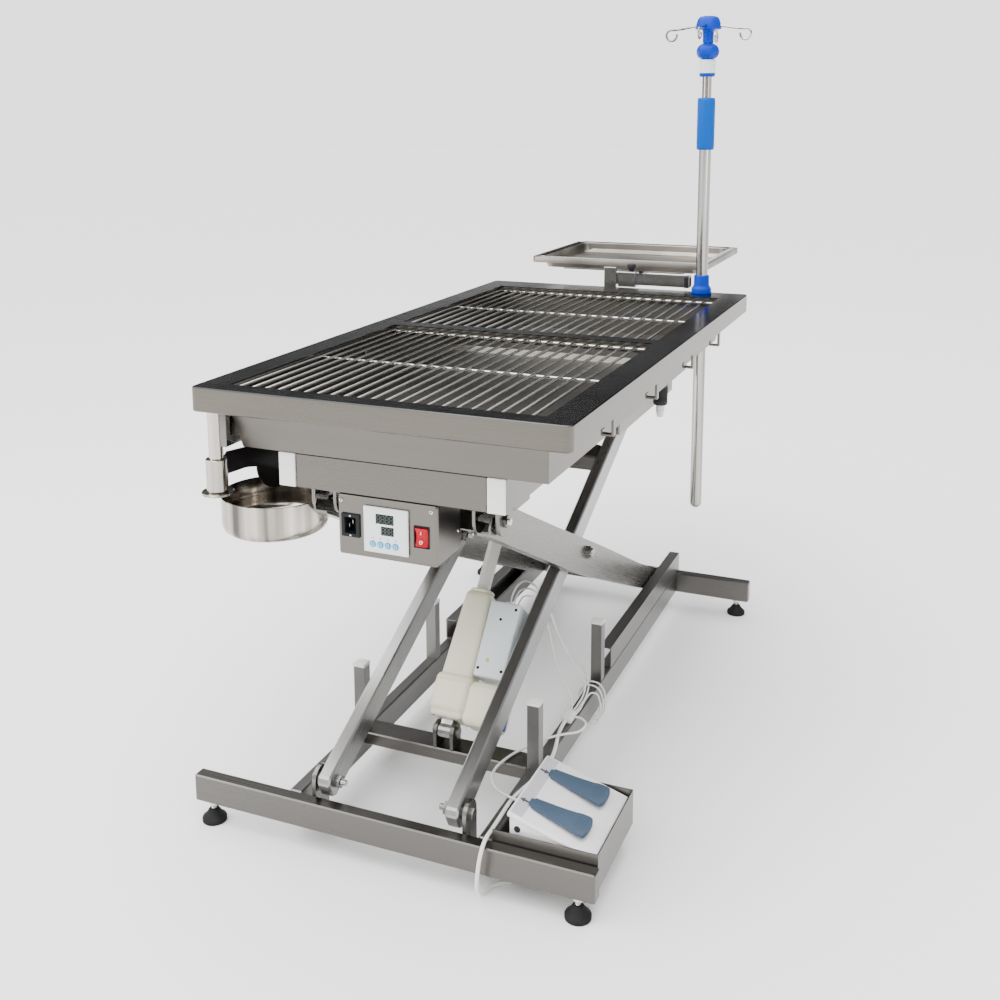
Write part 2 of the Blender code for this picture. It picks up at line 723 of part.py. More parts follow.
# Top frame: rails, hinge brackets, roller channels, end plate and actuator channel.
hinge_y, hinge_z = UPPER_HINGE
ROLLER_LINE = UPPER_ROLLER[1]
UPPER_CHANNEL_START = UPPER_ROLLER[0] - 0.2572
lug_top = FRAME_BOTTOM - 0.004
upper_lug = [(hinge_y - 0.022, lug_top), (hinge_y - 0.022, hinge_z)]
upper_lug += rounded_plate(UPPER_HINGE, 0.022, 180, 180)[1:-1]
upper_lug += [(hinge_y + 0.022, hinge_z), (hinge_y + 0.022, lug_top)]
for side, s in (("left", -1), ("right", 1)):
    rail = block(
        f"upper_rail_{side}",
        (s * FRAME_X[0], FRAME_START, FRAME_BOTTOM),
        (s * FRAME_X[1], FRAME_END, FRAME_TOP),
        STEEL,
        edge=0.002,
    )
    channel = block(
        f"upper_channel_{side}",
        (s * 0.125, UPPER_CHANNEL_START, ROLLER_LINE - 0.0203),
        (s * 0.1565, FRAME_END, ROLLER_LINE + 0.0212),
        STEEL,
    )
    cut(
        channel,
        block(
            f"upper_channel_hollow_{side}",
            (s * 0.115, UPPER_CHANNEL_START - 0.01, ROLLER_LINE - 0.0180),
            (s * 0.1535, FRAME_END - 0.004, ROLLER_LINE + 0.0180),
            STEEL,
        ),
    )
    web = block(
        f"upper_channel_web_{side}",
        (s * 0.1537, UPPER_CHANNEL_START + 0.002, ROLLER_LINE - 0.0023),
        (s * 0.1567, FRAME_END - 0.002, FRAME_TOP - 0.019),
        STEEL,
    )
    saddle = block(
        f"hinge_saddle_{side}",
        (s * 0.1135, hinge_y - 0.0278, FRAME_BOTTOM - 0.005),
        (s * (FRAME_X[1] - 0.001), hinge_y + 0.0292, FRAME_BOTTOM + 0.001),
        STEEL,
    )
    inner_lug = prism(f"hinge_lug_in_{side}", upper_lug, s * 0.1135, s * 0.1185, STEEL)
    outer_lug = prism(f"hinge_lug_out_{side}", upper_lug, s * 0.1505, s * 0.1565, STEEL)
    pin = cylinder(
        f"hinge_pin_{side}", PIN_RADIUS, (s * 0.115, *UPPER_HINGE), (s * 0.155, *UPPER_HINGE), STEEL, sides=16
    )
    head = cylinder(
        f"hinge_head_{side}", 0.010, (s * 0.156, *UPPER_HINGE), (s * 0.1615, *UPPER_HINGE), STEEL, sides=6
    )
    washer = cylinder(
        f"hinge_washer_{side}",
        0.010,
        (s * 0.1473, *UPPER_HINGE),
        (s * 0.1515, *UPPER_HINGE),
        STEEL,
        sides=16,
    )
    join(rail, channel, web, saddle, inner_lug, outer_lug, pin, head, washer)

block(
    "upper_front_plate",
    (-FRAME_X[0] + GAP, FRAME_START, FRAME_BOTTOM),
    (FRAME_X[0] - GAP, FRAME_START + TUBE_WIDE + GAP, FRAME_TOP),
    STEEL,
    edge=0.0015,
)

head_y, head_z = ACTUATOR_HEAD
cross_channel = block(
    "upper_cross_channel",
    (-FRAME_X[0] + GAP, head_y - 0.034, FRAME_BOTTOM),
    (FRAME_X[0] - GAP, head_y + 0.034, FRAME_TOP),
    STEEL,
    edge=0.002,
)
cut(
    cross_channel,
    block(
        "cross_channel_hollow",
        (-0.17, head_y - 0.031, FRAME_BOTTOM - 0.01),
        (0.17, head_y + 0.031, FRAME_TOP - 0.003),
        STEEL,
    ),
    block(
        "cross_channel_notch",
        (-0.026, head_y - 0.045, FRAME_BOTTOM - 0.01),
        (0.026, head_y - 0.020, FRAME_TOP - 0.010),
        STEEL,
    ),
)
for s in (-1, 1):
    join(
        cross_channel,
        block(
            f"actuator_lug_{s}",
            (s * 0.0152, head_y - 0.028, FRAME_BOTTOM - 0.012),
            (s * 0.0202, head_y + 0.028, FRAME_TOP - 0.002),
            STEEL,
        ),
        cylinder(
            f"actuator_pin_head_{s}",
            0.009,
            (s * 0.0195, head_y, head_z),
            (s * 0.0250, head_y, head_z),
            STEEL,
            sides=16,
        ),
    )

# Table top: a folded sheet with two openings, each with a lip and a ledge for its grid.
SKIRT_BOTTOM = TOP_HEIGHT - SKIRT_HEIGHT
LEDGE = 0.006
LEDGE_TOP = TOP_HEIGHT - 0.0144


def rounded_rectangle(x0, x1, y0, y1, radius, count=4):
    outline = []
    for cx, cy, turn in (
        (x1 - radius, y1 - radius, 0),
        (x0 + radius, y1 - radius, 90),
        (x0 + radius, y0 + radius, 180),
        (x1 - radius, y0 + radius, 270),
    ):
        outline += rounded_plate((cx, cy), radius, 90, turn, count)
    return outline


rim = prism(
    "tabletop_rim",
    rounded_rectangle(-HALF_TOP, HALF_TOP, 0.0, TOP_LENGTH, 0.010),
    SKIRT_BOTTOM,
    TOP_HEIGHT,
    STEEL,
    axis="Z",
)
round_edges(rim, 0.0015)
cut(
    rim,
    prism(
        "tabletop_underside",
        rounded_rectangle(-HALF_TOP + SHEET, HALF_TOP - SHEET, SHEET, TOP_LENGTH - SHEET, 0.008),
        SKIRT_BOTTOM - 0.01,
        TOP_HEIGHT - SHEET,
        STEEL,
        axis="Z",
    ),
)
for end, (y0, y1) in OPENINGS_Y.items():
    join(
        rim,
        block(
            f"lip_{end}",
            (-OPENING_HALF - 0.0025, y0 - 0.0025, LEDGE_TOP - 0.0026),
            (OPENING_HALF + 0.0025, y1 + 0.0025, TOP_HEIGHT - 0.001),
            STEEL,
        ),
    )
    cut(
        rim,
        block(
            f"opening_{end}",
            (-OPENING_HALF, y0, LEDGE_TOP),
            (OPENING_HALF, y1, TOP_HEIGHT + 0.02),
            STEEL,
        ),
        block(
            f"ledge_opening_{end}",
            (-OPENING_HALF + LEDGE, y0 + LEDGE, LEDGE_TOP - 0.01),
            (OPENING_HALF - LEDGE, y1 - LEDGE, TOP_HEIGHT + 0.01),
            STEEL,
        ),
    )
pole_hole = cylinder(
    "pole_hole",
    POLE_RADIUS + 0.0005,
    (POLE_X, POLE_Y, TOP_HEIGHT - 0.02),
    (POLE_X, POLE_Y, TOP_HEIGHT + 0.02),
    STEEL,
    sides=24,
)
cut(rim, pole_hole)

HOOK_Y = (0.200, 0.440, 0.690, 0.913)
HOOK_OUTLINE = [
    (-0.0060, -0.0210),
    (-0.0025, -0.0210),
    (-0.0025, -0.0650),
    (-0.0220, -0.0650),
    (-0.0220, -0.0560),
    (-0.0195, -0.0560),
    (-0.0195, -0.0623),
    (-0.0060, -0.0623),
]
for side, s in (("left", -1), ("right", 1)):
    for number, y in enumerate(HOOK_Y):
        outline = [(s * (HALF_TOP + x), TOP_HEIGHT + z) for x, z in HOOK_OUTLINE]
        join(rim, prism(f"hook_{side}_{number}", outline, y - 0.006, y + 0.006, STEEL, axis="Y"))

# Grids: square bars along the table on three cross bars each, lifted out for cleaning.
GRID_BAR = 0.005
GRID_PITCH = 0.0225
GRID_PLAY = 0.001                     # round each grid in its opening
GRID_TOP = TOP_HEIGHT - 0.0044
BARS_EACH_SIDE = int((OPENING_HALF - GRID_BAR) / GRID_PITCH)
for end, (y0, y1) in OPENINGS_Y.items():
    low, high = y0 + GRID_PLAY, y1 - GRID_PLAY
    bm = bmesh.new()
    for number in range(-BARS_EACH_SIDE, BARS_EACH_SIDE + 1):
        x = number * GRID_PITCH
        add_box(bm, (x - GRID_BAR / 2, low, GRID_TOP - GRID_BAR), (x + GRID_BAR / 2, high, GRID_TOP))
    middle = (0.0, (low + high) / 2, LEDGE_TOP)
    grid = add_piece(f"grid_{end}", finish_mesh(bm, f"grid_{end}"), STEEL, pivot=middle)
    bm = bmesh.new()
    for y in (low + 0.004, (low + high) / 2, high - 0.004):
        add_box(
            bm,
            (-OPENING_HALF + GRID_PLAY, y - 0.003, LEDGE_TOP + GAP),
            (OPENING_HALF - GRID_PLAY, y + 0.003, GRID_TOP - GRID_BAR + 0.0005),
        )
    join(grid, add_piece(f"grid_cross_{end}", finish_mesh(bm, f"grid_cross_{end}"), STEEL))

# Basin under the grids: a folded tub with a shallower far end and a drain.
BASIN_WALL = 0.002
BASIN_LOW_HALF = OPENING_HALF - 0.0045
BASIN_HIGH_HALF = OPENING_HALF + 0.0080
BASIN_NEAR = (NEAR_BAND - 0.0105, FRAME_START - GAP)
SHELF_Y, SHELF_RISE = 0.8430, 0.0107  # the shallower far end
BASIN_FAR = (TOP_LENGTH - FAR_BAND - 0.006, TOP_LENGTH - FAR_BAND + 0.008)
SHELF_BOTTOM = BASIN_BOTTOM + SHELF_RISE
DRAIN_X, DRAIN_Y = BASIN_LOW_HALF - 0.020, 0.725


def tapered_tub(name, outline, bottom_half, top_half, low, high):
    """A side profile swept across the table, narrower at the bottom."""
    ob = prism(name, outline, -1.0, 1.0, BASIN_STEEL)
    for vertex in ob.data.vertices:
        share = (vertex.co.z - low) / (high - low)
        vertex.co.x *= bottom_half + (top_half - bottom_half) * share
    return ob


basin_profile = [
    (BASIN_NEAR[0], BASIN_TOP),
    (BASIN_NEAR[1], BASIN_BOTTOM),
    (SHELF_Y - 0.0100, BASIN_BOTTOM),
    (SHELF_Y, SHELF_BOTTOM),
    (BASIN_FAR[0], SHELF_BOTTOM),
    (BASIN_FAR[1], BASIN_TOP),
]
basin = tapered_tub("basin", basin_profile, BASIN_LOW_HALF, BASIN_HIGH_HALF, BASIN_BOTTOM, BASIN_TOP)
INNER_TOP = BASIN_TOP + 0.0093
inner_profile = [
    (BASIN_NEAR[0] - 0.0018, INNER_TOP),
    (BASIN_NEAR[1] + 0.0022, BASIN_BOTTOM + BASIN_WALL),
    (SHELF_Y - 0.0110, BASIN_BOTTOM + BASIN_WALL),
    (SHELF_Y - 0.0010, SHELF_BOTTOM + BASIN_WALL),
    (BASIN_FAR[0] - 0.0022, SHELF_BOTTOM + BASIN_WALL),
    (BASIN_FAR[1] - 0.0006, INNER_TOP),
]
join(
    basin,
    block(
        "basin_flange",
        (-OPENING_HALF - 0.0145, NEAR_BAND - 0.0195, BASIN_TOP - 0.0018),
        (OPENING_HALF + 0.0145, TOP_LENGTH - FAR_BAND + 0.015, BASIN_TOP),
        STEEL,
    ),
    cylinder(
        "drain_pipe",
        0.010,
        (DRAIN_X, DRAIN_Y, BASIN_BOTTOM - 0.0193),
        (DRAIN_X, DRAIN_Y, BASIN_BOTTOM + 0.001),
        STEEL,
        sides=20,
    ),
)
cut(
    basin,
    tapered_tub(
        "basin_inside",
        inner_profile,
        BASIN_LOW_HALF - 0.0019,
        BASIN_HIGH_HALF - 0.0007,
        BASIN_BOTTOM + BASIN_WALL,
        INNER_TOP,
    ),
    cylinder(
        "drain_bore",
        0.007,
        (DRAIN_X, DRAIN_Y, BASIN_BOTTOM - 0.03),
        (DRAIN_X, DRAIN_Y, BASIN_BOTTOM + 0.02),
        STEEL,
        sides=16,
    ),
)
DRAIN_CAP_PROFILE = [
    (0.0103, -0.0073),
    (0.0135, -0.0073),
    (0.0135, -0.0433),
    (0.0115, -0.0463),
    (0.0080, -0.0463),
    (0.0080, -0.0613),
    (0.0065, -0.0633),
    (0.0065, -0.0693),
    (0.0045, -0.0693),
    (0.0045, -0.0233),
    (0.0103, -0.0233),
]
turned(
    "drain_cap",
    [(radius, BASIN_BOTTOM + height) for radius, height in DRAIN_CAP_PROFILE],
    (DRAIN_X, DRAIN_Y),
    BLACK,
    steps=16,
    closed=True,
)

# Drip pole: socket, outer pole with grip, inner pole with collar, knob and hooks.
def above_top(profile):
    """A turned profile whose heights are given above the table top."""
    return [(radius, TOP_HEIGHT + height) for radius, height in profile]


SOCKET_PROFILE = [
    (0.0150, 0.0410),
    (0.0170, 0.0390),
    (0.0170, 0.0180),
    (0.0210, 0.0120),
    (0.0220, 0.0100),
    (0.0220, GAP),
    (POLE_RADIUS + GAP, GAP),
    (POLE_RADIUS + GAP, 0.0410),
]
turned("iv_socket", above_top(SOCKET_PROFILE), (POLE_X, POLE_Y), BLUE, steps=20, closed=True)
OUTER_TOP, OUTER_FOOT = 0.4190, -0.4950
INNER_HOLE_FOOT, INNER_FOOT = -0.2710, -0.2410
pole_profile = [
    (0.0, INNER_HOLE_FOOT),
    (INNER_POLE_RADIUS + GAP, INNER_HOLE_FOOT),
    (INNER_POLE_RADIUS + GAP, OUTER_TOP),
    (POLE_RADIUS, OUTER_TOP),
    (POLE_RADIUS, OUTER_FOOT + POLE_RADIUS),
]
pole_profile += [
    (POLE_RADIUS * math.cos(a), OUTER_FOOT + POLE_RADIUS * (1 - math.sin(a)))
    for a in (0.4, 0.8, 1.2)
]
pole_profile += [(0.0, OUTER_FOOT)]
turned("iv_outer_pole", above_top(pole_profile), (POLE_X, POLE_Y), BRIGHT_STEEL, steps=20)
GRIP_PROFILE = [
    (0.0170, OUTER_TOP + 0.0060),
    (0.0190, OUTER_TOP + 0.0030),
    (0.0190, OUTER_TOP - 0.1020),
    (0.0170, OUTER_TOP - 0.1050),
    (POLE_RADIUS + GAP, OUTER_TOP - 0.1050),
    (POLE_RADIUS + GAP, OUTER_TOP + GAP),
    (INNER_POLE_RADIUS + GAP, OUTER_TOP + GAP),
    (INNER_POLE_RADIUS + GAP, OUTER_TOP + 0.0060),
]
turned("iv_grip", above_top(GRIP_PROFILE), (POLE_X, POLE_Y), BLUE, steps=20, closed=True)
SPIGOT = 0.0055
COLLAR_TOP = 0.5050
INNER_PROFILE = [
    (0.0, COLLAR_TOP + 0.0780),
    (SPIGOT, COLLAR_TOP + 0.0780),
    (SPIGOT, COLLAR_TOP),
    (0.0150, COLLAR_TOP),
    (0.0170, COLLAR_TOP - 0.0030),
    (0.0170, COLLAR_TOP - 0.0330),
    (0.0150, COLLAR_TOP - 0.0360),
    (INNER_POLE_RADIUS, COLLAR_TOP - 0.0360),
    (INNER_POLE_RADIUS, INNER_FOOT),
    (0.0, INNER_FOOT),
]
turned("iv_inner_pole", above_top(INNER_PROFILE), (POLE_X, POLE_Y), BRIGHT_STEEL, steps=20)
knob = [(SPIGOT + GAP, COLLAR_TOP + 0.0337), (0.0110, COLLAR_TOP + 0.0337)]
knob += [
    (0.0135 + 0.0085 * math.cos(a), COLLAR_TOP + 0.0170 + 0.0155 * math.sin(a))
    for a in (1.1, 0.4, -0.4, -1.1)
]
knob += [(0.0110, COLLAR_TOP + GAP), (SPIGOT + GAP, COLLAR_TOP + GAP)]
turned("iv_lock_knob", above_top(knob), (POLE_X, POLE_Y), BLUE, steps=18, closed=True)

HEAD_PROFILE = [
    (0.0, COLLAR_TOP + 0.0910),
    (0.0080, COLLAR_TOP + 0.0895),
    (0.0150, COLLAR_TOP + 0.0850),
    (0.0195, COLLAR_TOP + 0.0770),
    (0.0205, COLLAR_TOP + 0.0680),
    (0.0200, COLLAR_TOP + 0.0640),
    (0.0100, COLLAR_TOP + 0.0630),
    (0.0085, COLLAR_TOP + 0.0540),
    (0.0085, COLLAR_TOP + 0.0400),
    (0.0110, COLLAR_TOP + 0.0340),
    (SPIGOT + GAP, COLLAR_TOP + 0.0340),
    (SPIGOT + GAP, COLLAR_TOP + 0.0790),
    (0.0, COLLAR_TOP + 0.0790),
]
hook_head = turned("iv_hook_head", above_top(HEAD_PROFILE), (POLE_X, POLE_Y), WHITE, steps=20)
HOOK_REACH = 0.0805
HOOK_LOOP = 0.0115
for number in range(4):
    turn = math.radians(90 * number)
    flat = [(0.014, COLLAR_TOP + 0.0715), (0.066, COLLAR_TOP + 0.0625)]
    flat += [
        (HOOK_REACH + HOOK_LOOP * math.cos(a), COLLAR_TOP + 0.0505 + HOOK_LOOP * math.sin(a))
        for a in [math.radians(95 - 40 * step) for step in range(8)]
    ]
    path = [
        (POLE_X + reach * math.cos(turn), POLE_Y + reach * math.sin(turn), height)
        for reach, height in above_top(flat)
    ]
    join(hook_head, wire(f"hook_wire_{number}", path, 0.0022, WHITE, resolution=1))

# Instrument tray on a bar at the far end: a carrier slides on the bar, the pan lifts off.
def beyond(corner):
    """A point from its distance beyond the top's far end and its height above the top."""
    return (corner[0], TOP_LENGTH + corner[1], TOP_HEIGHT + corner[2])


BAR_Y = (0.0063, 0.0283)
BAR_Z = (0.0060, 0.0300)
bracket = block(
    "tray_bracket",
    beyond((-0.0305, GAP, -0.0350)),
    beyond((-0.0015, 0.0075, 0.0450)),
    STEEL,
    edge=0.001,
)
join(
    bracket,
    block("tray_bar", beyond((-0.030, BAR_Y[0], BAR_Z[0])), beyond((0.156, BAR_Y[1], BAR_Z[1])), STEEL),
    block(
        "tray_bar_cap",
        beyond((0.155, BAR_Y[0] - 0.001, BAR_Z[0] - 0.001)),
        beyond((0.167, BAR_Y[1] + 0.001, BAR_Z[1] + 0.001)),
        BLACK,
    ),
)
carrier = block(
    "tray_carrier",
    beyond((0.002, BAR_Y[0] - 0.0043, BAR_Z[0] - 0.0055)),
    beyond((0.044, BAR_Y[1] + 0.0043, BAR_Z[1] + 0.0055)),
    STEEL,
    edge=0.0015,
)
cut(
    carrier,
    block(
        "carrier_bore",
        beyond((-0.01, BAR_Y[0] - GAP, BAR_Z[0] - GAP)),
        beyond((0.06, BAR_Y[1] + GAP, BAR_Z[1] + GAP)),
        STEEL,
    ),
)
join(
    carrier,
    block("carrier_arm", beyond((0.010, 0.0310, 0.0160)), beyond((0.036, TRAY_REACH - 0.040, 0.0220)), STEEL),
    block("carrier_cross_near", beyond((-0.165, 0.106, 0.0215)), beyond((0.130, 0.128, 0.0266)), STEEL),
    block(
        "carrier_cross_far",
        beyond((-0.165, TRAY_REACH - 0.070, 0.0215)),
        beyond((0.130, TRAY_REACH - 0.048, 0.0266)),
        STEEL,
    ),
)
TRAY_KNOB_PROFILE = [
    (0.0, 0.0530),
    (0.0085, 0.0525),
    (0.0105, 0.0505),
    (0.0105, 0.0415),
    (0.0060, 0.0395),
    (0.0060, 0.0358),
    (0.0, 0.0358),
]
turned("tray_knob", above_top(TRAY_KNOB_PROFILE), (0.0300, TOP_LENGTH + sum(BAR_Y) / 2), BLACK, steps=20)

TRAY_NEAR = TOP_LENGTH + 0.0580
TRAY_FAR = TOP_LENGTH + TRAY_REACH
TRAY_LOW = (-0.190, 0.148, TRAY_NEAR + 0.023, TRAY_FAR - 0.023)
TRAY_HIGH = (-0.227, 0.192, TRAY_NEAR + 0.003, TRAY_FAR - 0.003)
TRAY_FLOOR = TOP_HEIGHT + 0.0270


def tray_loft(name, inset, low, high):
    """A tub with rounded corners, wider at the top."""
    rings = []
    for (x0, x1, y0, y1), radius in ((TRAY_LOW, 0.020), (TRAY_HIGH, 0.028)):
        rings.append(rounded_rectangle(x0 + inset, x1 - inset, y0 + inset, y1 - inset, radius))
    bm = bmesh.new()
    low_ring = [bm.verts.new((x, y, low)) for x, y in rings[0]]
    high_ring = [bm.verts.new((x, y, high)) for x, y in rings[1]]
    bm.faces.new(low_ring)
    bm.faces.new(high_ring)
    for i in range(len(low_ring)):
        j = (i + 1) % len(low_ring)
        bm.faces.new((low_ring[i], low_ring[j], high_ring[j], high_ring[i]))
    return add_piece(name, finish_mesh(bm, name), STEEL)


pan = tray_loft("tray_pan", 0.0, TRAY_FLOOR, TRAY_FLOOR + 0.026)
join(
    pan,
    prism(
        "tray_rim",
        rounded_rectangle(-0.230, 0.195, TRAY_NEAR, TRAY_FAR, 0.030),
        TRAY_FLOOR + 0.012,
        TRAY_FLOOR + 0.027,
        STEEL,
        axis="Z",
    ),
)
cut(pan, tray_loft("tray_inside", 0.0018, TRAY_FLOOR + 0.0018, TRAY_FLOOR + 0.032))

# Bucket on a swinging arm under the near left corner.
POST_FOOT = FRAME_BOTTOM - 0.0170
PLATE_REACH = -OPENING_HALF - 0.0040
bucket_post = turned(
    "bucket_post",
    [
        (0.0, BASIN_TOP),
        (0.0110, BASIN_TOP),
        (0.0110, POST_FOOT + 0.0042),
        (0.0245, POST_FOOT + 0.0042),
        (0.0245, POST_FOOT),
        (0.0, POST_FOOT),
    ],
    (POST_X, POST_Y),
    STEEL,
    steps=24,
)
join(
    bucket_post,
    block(
        "post_plate",
        (POST_X + 0.008, POST_Y - 0.004, BASIN_BOTTOM + 0.0057),
        (PLATE_REACH, POST_Y + 0.036, BASIN_TOP - 0.0377),
        STEEL,
    ),
    block(
        "post_strut",
        (POST_X - 0.004, POST_Y + 0.006, BASIN_BOTTOM + 0.0207),
        (PLATE_REACH, POST_Y + 0.012, BASIN_TOP - 0.0477),
        STEEL,
    ),
)
BUCKET_MIDDLE = Vector((POST_X + 0.0294, POST_Y + 0.110))
BUCKET_TOP = POST_FOOT - 0.0263
BUCKET_BOTTOM = BUCKET_TOP - 0.0590
TAB_DIRECTION = Vector((0.10, 0.995)).normalized()
TAB_TURN = math.atan2(TAB_DIRECTION.y, TAB_DIRECTION.x)
tab_middle = BUCKET_MIDDLE + TAB_DIRECTION * (BUCKET_RADIUS + GAP + 0.0015)
arm_line = tab_middle - Vector((POST_X, POST_Y))
ARM_TURN = math.atan2(arm_line.y, arm_line.x)
ARM_LENGTH = arm_line.length
bucket_arm = turned(
    "bucket_arm",
    [
        (0.0160, POST_FOOT + 0.0555),
        (0.0165, POST_FOOT + 0.0550),
        (0.0165, POST_FOOT + 0.0050),
        (0.0160, POST_FOOT + 0.0045),
        (0.0113, POST_FOOT + 0.0045),
        (0.0113, POST_FOOT + 0.0555),
    ],
    (POST_X, POST_Y),
    STEEL,
    steps=20,
    closed=True,
)
gusset_low = BUCKET_TOP + 0.0015
cut_start = 0.130
cut_radius = 0.046
gusset_outline = [(0.0145, POST_FOOT + 0.0540), (0.022, POST_FOOT + 0.0610), (ARM_LENGTH, POST_FOOT + 0.0510)]
gusset_outline += [(ARM_LENGTH, gusset_low), (cut_start, gusset_low)]
gusset_outline += [
    (cut_start - cut_radius * math.sin(a), gusset_low + cut_radius * (1 - math.cos(a)))
    for a in [math.radians(15 * step) for step in range(1, 7)]
]
gusset_outline += [(0.060, POST_FOOT + 0.0260), (0.0145, POST_FOOT + 0.0260)]
gusset = prism("bucket_gusset", gusset_outline, -0.002, 0.002, BLACK, axis="Y")
gusset.data.transform(Matrix.Translation((POST_X, POST_Y, 0.0)) @ Matrix.Rotation(ARM_TURN, 4, "Z"))
tab = block(
    "bucket_tab",
    (-0.0015, -0.018, BUCKET_TOP - 0.0427),
    (0.0015, 0.018, BUCKET_TOP + 0.0473),
    BRIGHT_STEEL,
)
tab.data.transform(
    Matrix.Translation((tab_middle.x, tab_middle.y, 0.0)) @ Matrix.Rotation(TAB_TURN, 4, "Z")
)
join(bucket_arm, gusset, tab)
turned(
    "bucket",
    [
        (0.0, BUCKET_BOTTOM + 0.0016),
        (BUCKET_RADIUS - 0.0150, BUCKET_BOTTOM + 0.0016),
        (BUCKET_RADIUS - 0.0054, BUCKET_BOTTOM + 0.0052),
        (BUCKET_RADIUS - 0.0015, BUCKET_BOTTOM + 0.0160),
        (BUCKET_RADIUS - 0.0015, BUCKET_TOP),
        (BUCKET_RADIUS, BUCKET_TOP),
        (BUCKET_RADIUS, BUCKET_BOTTOM + 0.0150),
        (BUCKET_RADIUS - 0.004, BUCKET_BOTTOM + 0.0040),
        (BUCKET_RADIUS - 0.014, BUCKET_BOTTOM),
        (0.0, BUCKET_BOTTOM),
    ],
    (BUCKET_MIDDLE.x, BUCKET_MIDDLE.y),
    STEEL,
    steps=32,
)

# Control box under the end plate, with its panel, inlet and rocker switch.
BOX_FACE = FRAME_START - GAP
BOX_BOTTOM = FRAME_BOTTOM - 0.0945
box = block(
    "control_box",
    (-0.085, BOX_FACE, BOX_BOTTOM),
    (0.0785, BOX_FACE + 0.083, FRAME_BOTTOM - GAP),
    STEEL,
    edge=0.004,
    segments=2,
)
cut(
    box,
    block(
        "rocker_pocket",
        (0.0421, BOX_FACE - 0.01, BOX_BOTTOM + 0.0293),
        (0.0647, BOX_FACE + 0.012, BOX_BOTTOM + 0.0597),
        STEEL,
    ),
    block(
        "inlet_pocket",
        (-0.0755, BOX_FACE - 0.01, BOX_BOTTOM + 0.0315),
        (-0.0505, BOX_FACE + 0.020, BOX_BOTTOM + 0.0635),
        STEEL,
    ),
)
block(
    "control_panel",
    (-0.040, BOX_FACE - 0.0045, BOX_BOTTOM + 0.0120),
    (0.033, BOX_FACE - GAP, BOX_BOTTOM + 0.0820),
    WHITE,
    edge=0.0015,
)
inlet = block(
    "power_inlet",
    (-0.0785, BOX_FACE - 0.0030, BOX_BOTTOM + 0.0295),
    (-0.0475, BOX_FACE - GAP, BOX_BOTTOM + 0.0655),
    BLACK,
    edge=0.001,
)
inlet_body = block(
    "inlet_body",
    (-0.0750, BOX_FACE - 0.001, BOX_BOTTOM + 0.0320),
    (-0.0510, BOX_FACE + 0.019, BOX_BOTTOM + 0.0630),
    BLACK,
)
join(inlet, inlet_body)
inlet_mouth = block(
    "inlet_mouth",
    (-0.0725, BOX_FACE - 0.01, BOX_BOTTOM + 0.0350),
    (-0.0535, BOX_FACE + 0.016, BOX_BOTTOM + 0.0600),
    BLACK,
)
cut(inlet, inlet_mouth)
ROCKER_MIDDLE = BOX_BOTTOM + 0.0445
ROCKER_AXIS = (0.0534, BOX_FACE + 0.0035, ROCKER_MIDDLE)
rocker_outline = [
    (BOX_FACE - 0.0045, ROCKER_MIDDLE + 0.0142),
    (BOX_FACE - 0.0010, ROCKER_MIDDLE),
    (BOX_FACE - 0.0015, ROCKER_MIDDLE - 0.0142),
    (BOX_FACE + 0.0060, ROCKER_MIDDLE - 0.0135),
    (BOX_FACE + 0.0090, ROCKER_MIDDLE),
    (BOX_FACE + 0.0060, ROCKER_MIDDLE + 0.0135),
]
prism("rocker_switch", rocker_outline, 0.0426, 0.0642, RED, pivot=ROCKER_AXIS)

# Actuator: a point on it is (distance from its foot hinge along the rod, offset across).
lean_y, lean_z = head_y - foot_y, head_z - foot_z
REACH = math.hypot(lean_y, lean_z)
ALONG = Vector((lean_y / REACH, lean_z / REACH))
ACTUATOR_PIVOT = (0.0, foot_y, foot_z)


def on_actuator(along, across=0.0):
    return (
        foot_y + along * ALONG.x - across * ALONG.y,
        foot_z + along * ALONG.y + across * ALONG.x,
    )


def actuator_block(name, s0, s1, n0, n1, x0, x1, finish, edge=0.0, x_scale=1.0):
    corners = [on_actuator(s, n) for s, n in ((s0, n0), (s1, n0), (s1, n1), (s0, n1))]
    ob = prism(name, corners, x0, x1, finish, pivot=ACTUATOR_PIVOT)
    if x_scale != 1.0:
        for vertex in ob.data.vertices:
            away = (vertex.co.y * ALONG.x + vertex.co.z * ALONG.y - s0) / (s1 - s0)
            vertex.co.x *= 1 + (x_scale - 1) * away
    return round_edges(ob, edge, 2) if edge else ob


BODY_END = 0.237
housing = actuator_block("actuator_housing", 0.078, BODY_END, -0.0235, 0.0235, -0.029, 0.029, CREAM, 0.010, 0.82)
join(
    housing,
    actuator_block("gear_case", 0.028, 0.088, -0.033, 0.033, -0.031, 0.034, CREAM, 0.008),
    actuator_block("motor_case", 0.012, 0.084, -0.036, 0.030, 0.028, 0.0945, CREAM, 0.010),
    actuator_block("rod_seal", BODY_END - 0.006, BODY_END + 0.003, -0.019, 0.019, -0.0265, 0.0265, CREAM, 0.002),
    actuator_block("unit_mount", 0.110, 0.205, -0.012, 0.012, 0.015, 0.0302, CREAM),
    actuator_block("hinge_neck", 0.004, 0.034, -0.011, 0.011, -0.0118, 0.0118, CREAM),
    cylinder("hinge_eye", 0.014, (-0.0118, foot_y, foot_z), (0.0118, foot_y, foot_z), CREAM, sides=20),
)
cut(
    housing,
    cylinder("eye_bore", PIN_RADIUS + BORE_PLAY, (-0.02, foot_y, foot_z), (0.02, foot_y, foot_z), CREAM, sides=16),
    cylinder(
        "rod_bore",
        ROD_RADIUS + GAP,
        (0.0, *on_actuator(0.046)),
        (0.0, *on_actuator(0.260)),
        CREAM,
        sides=20,
    ),
)
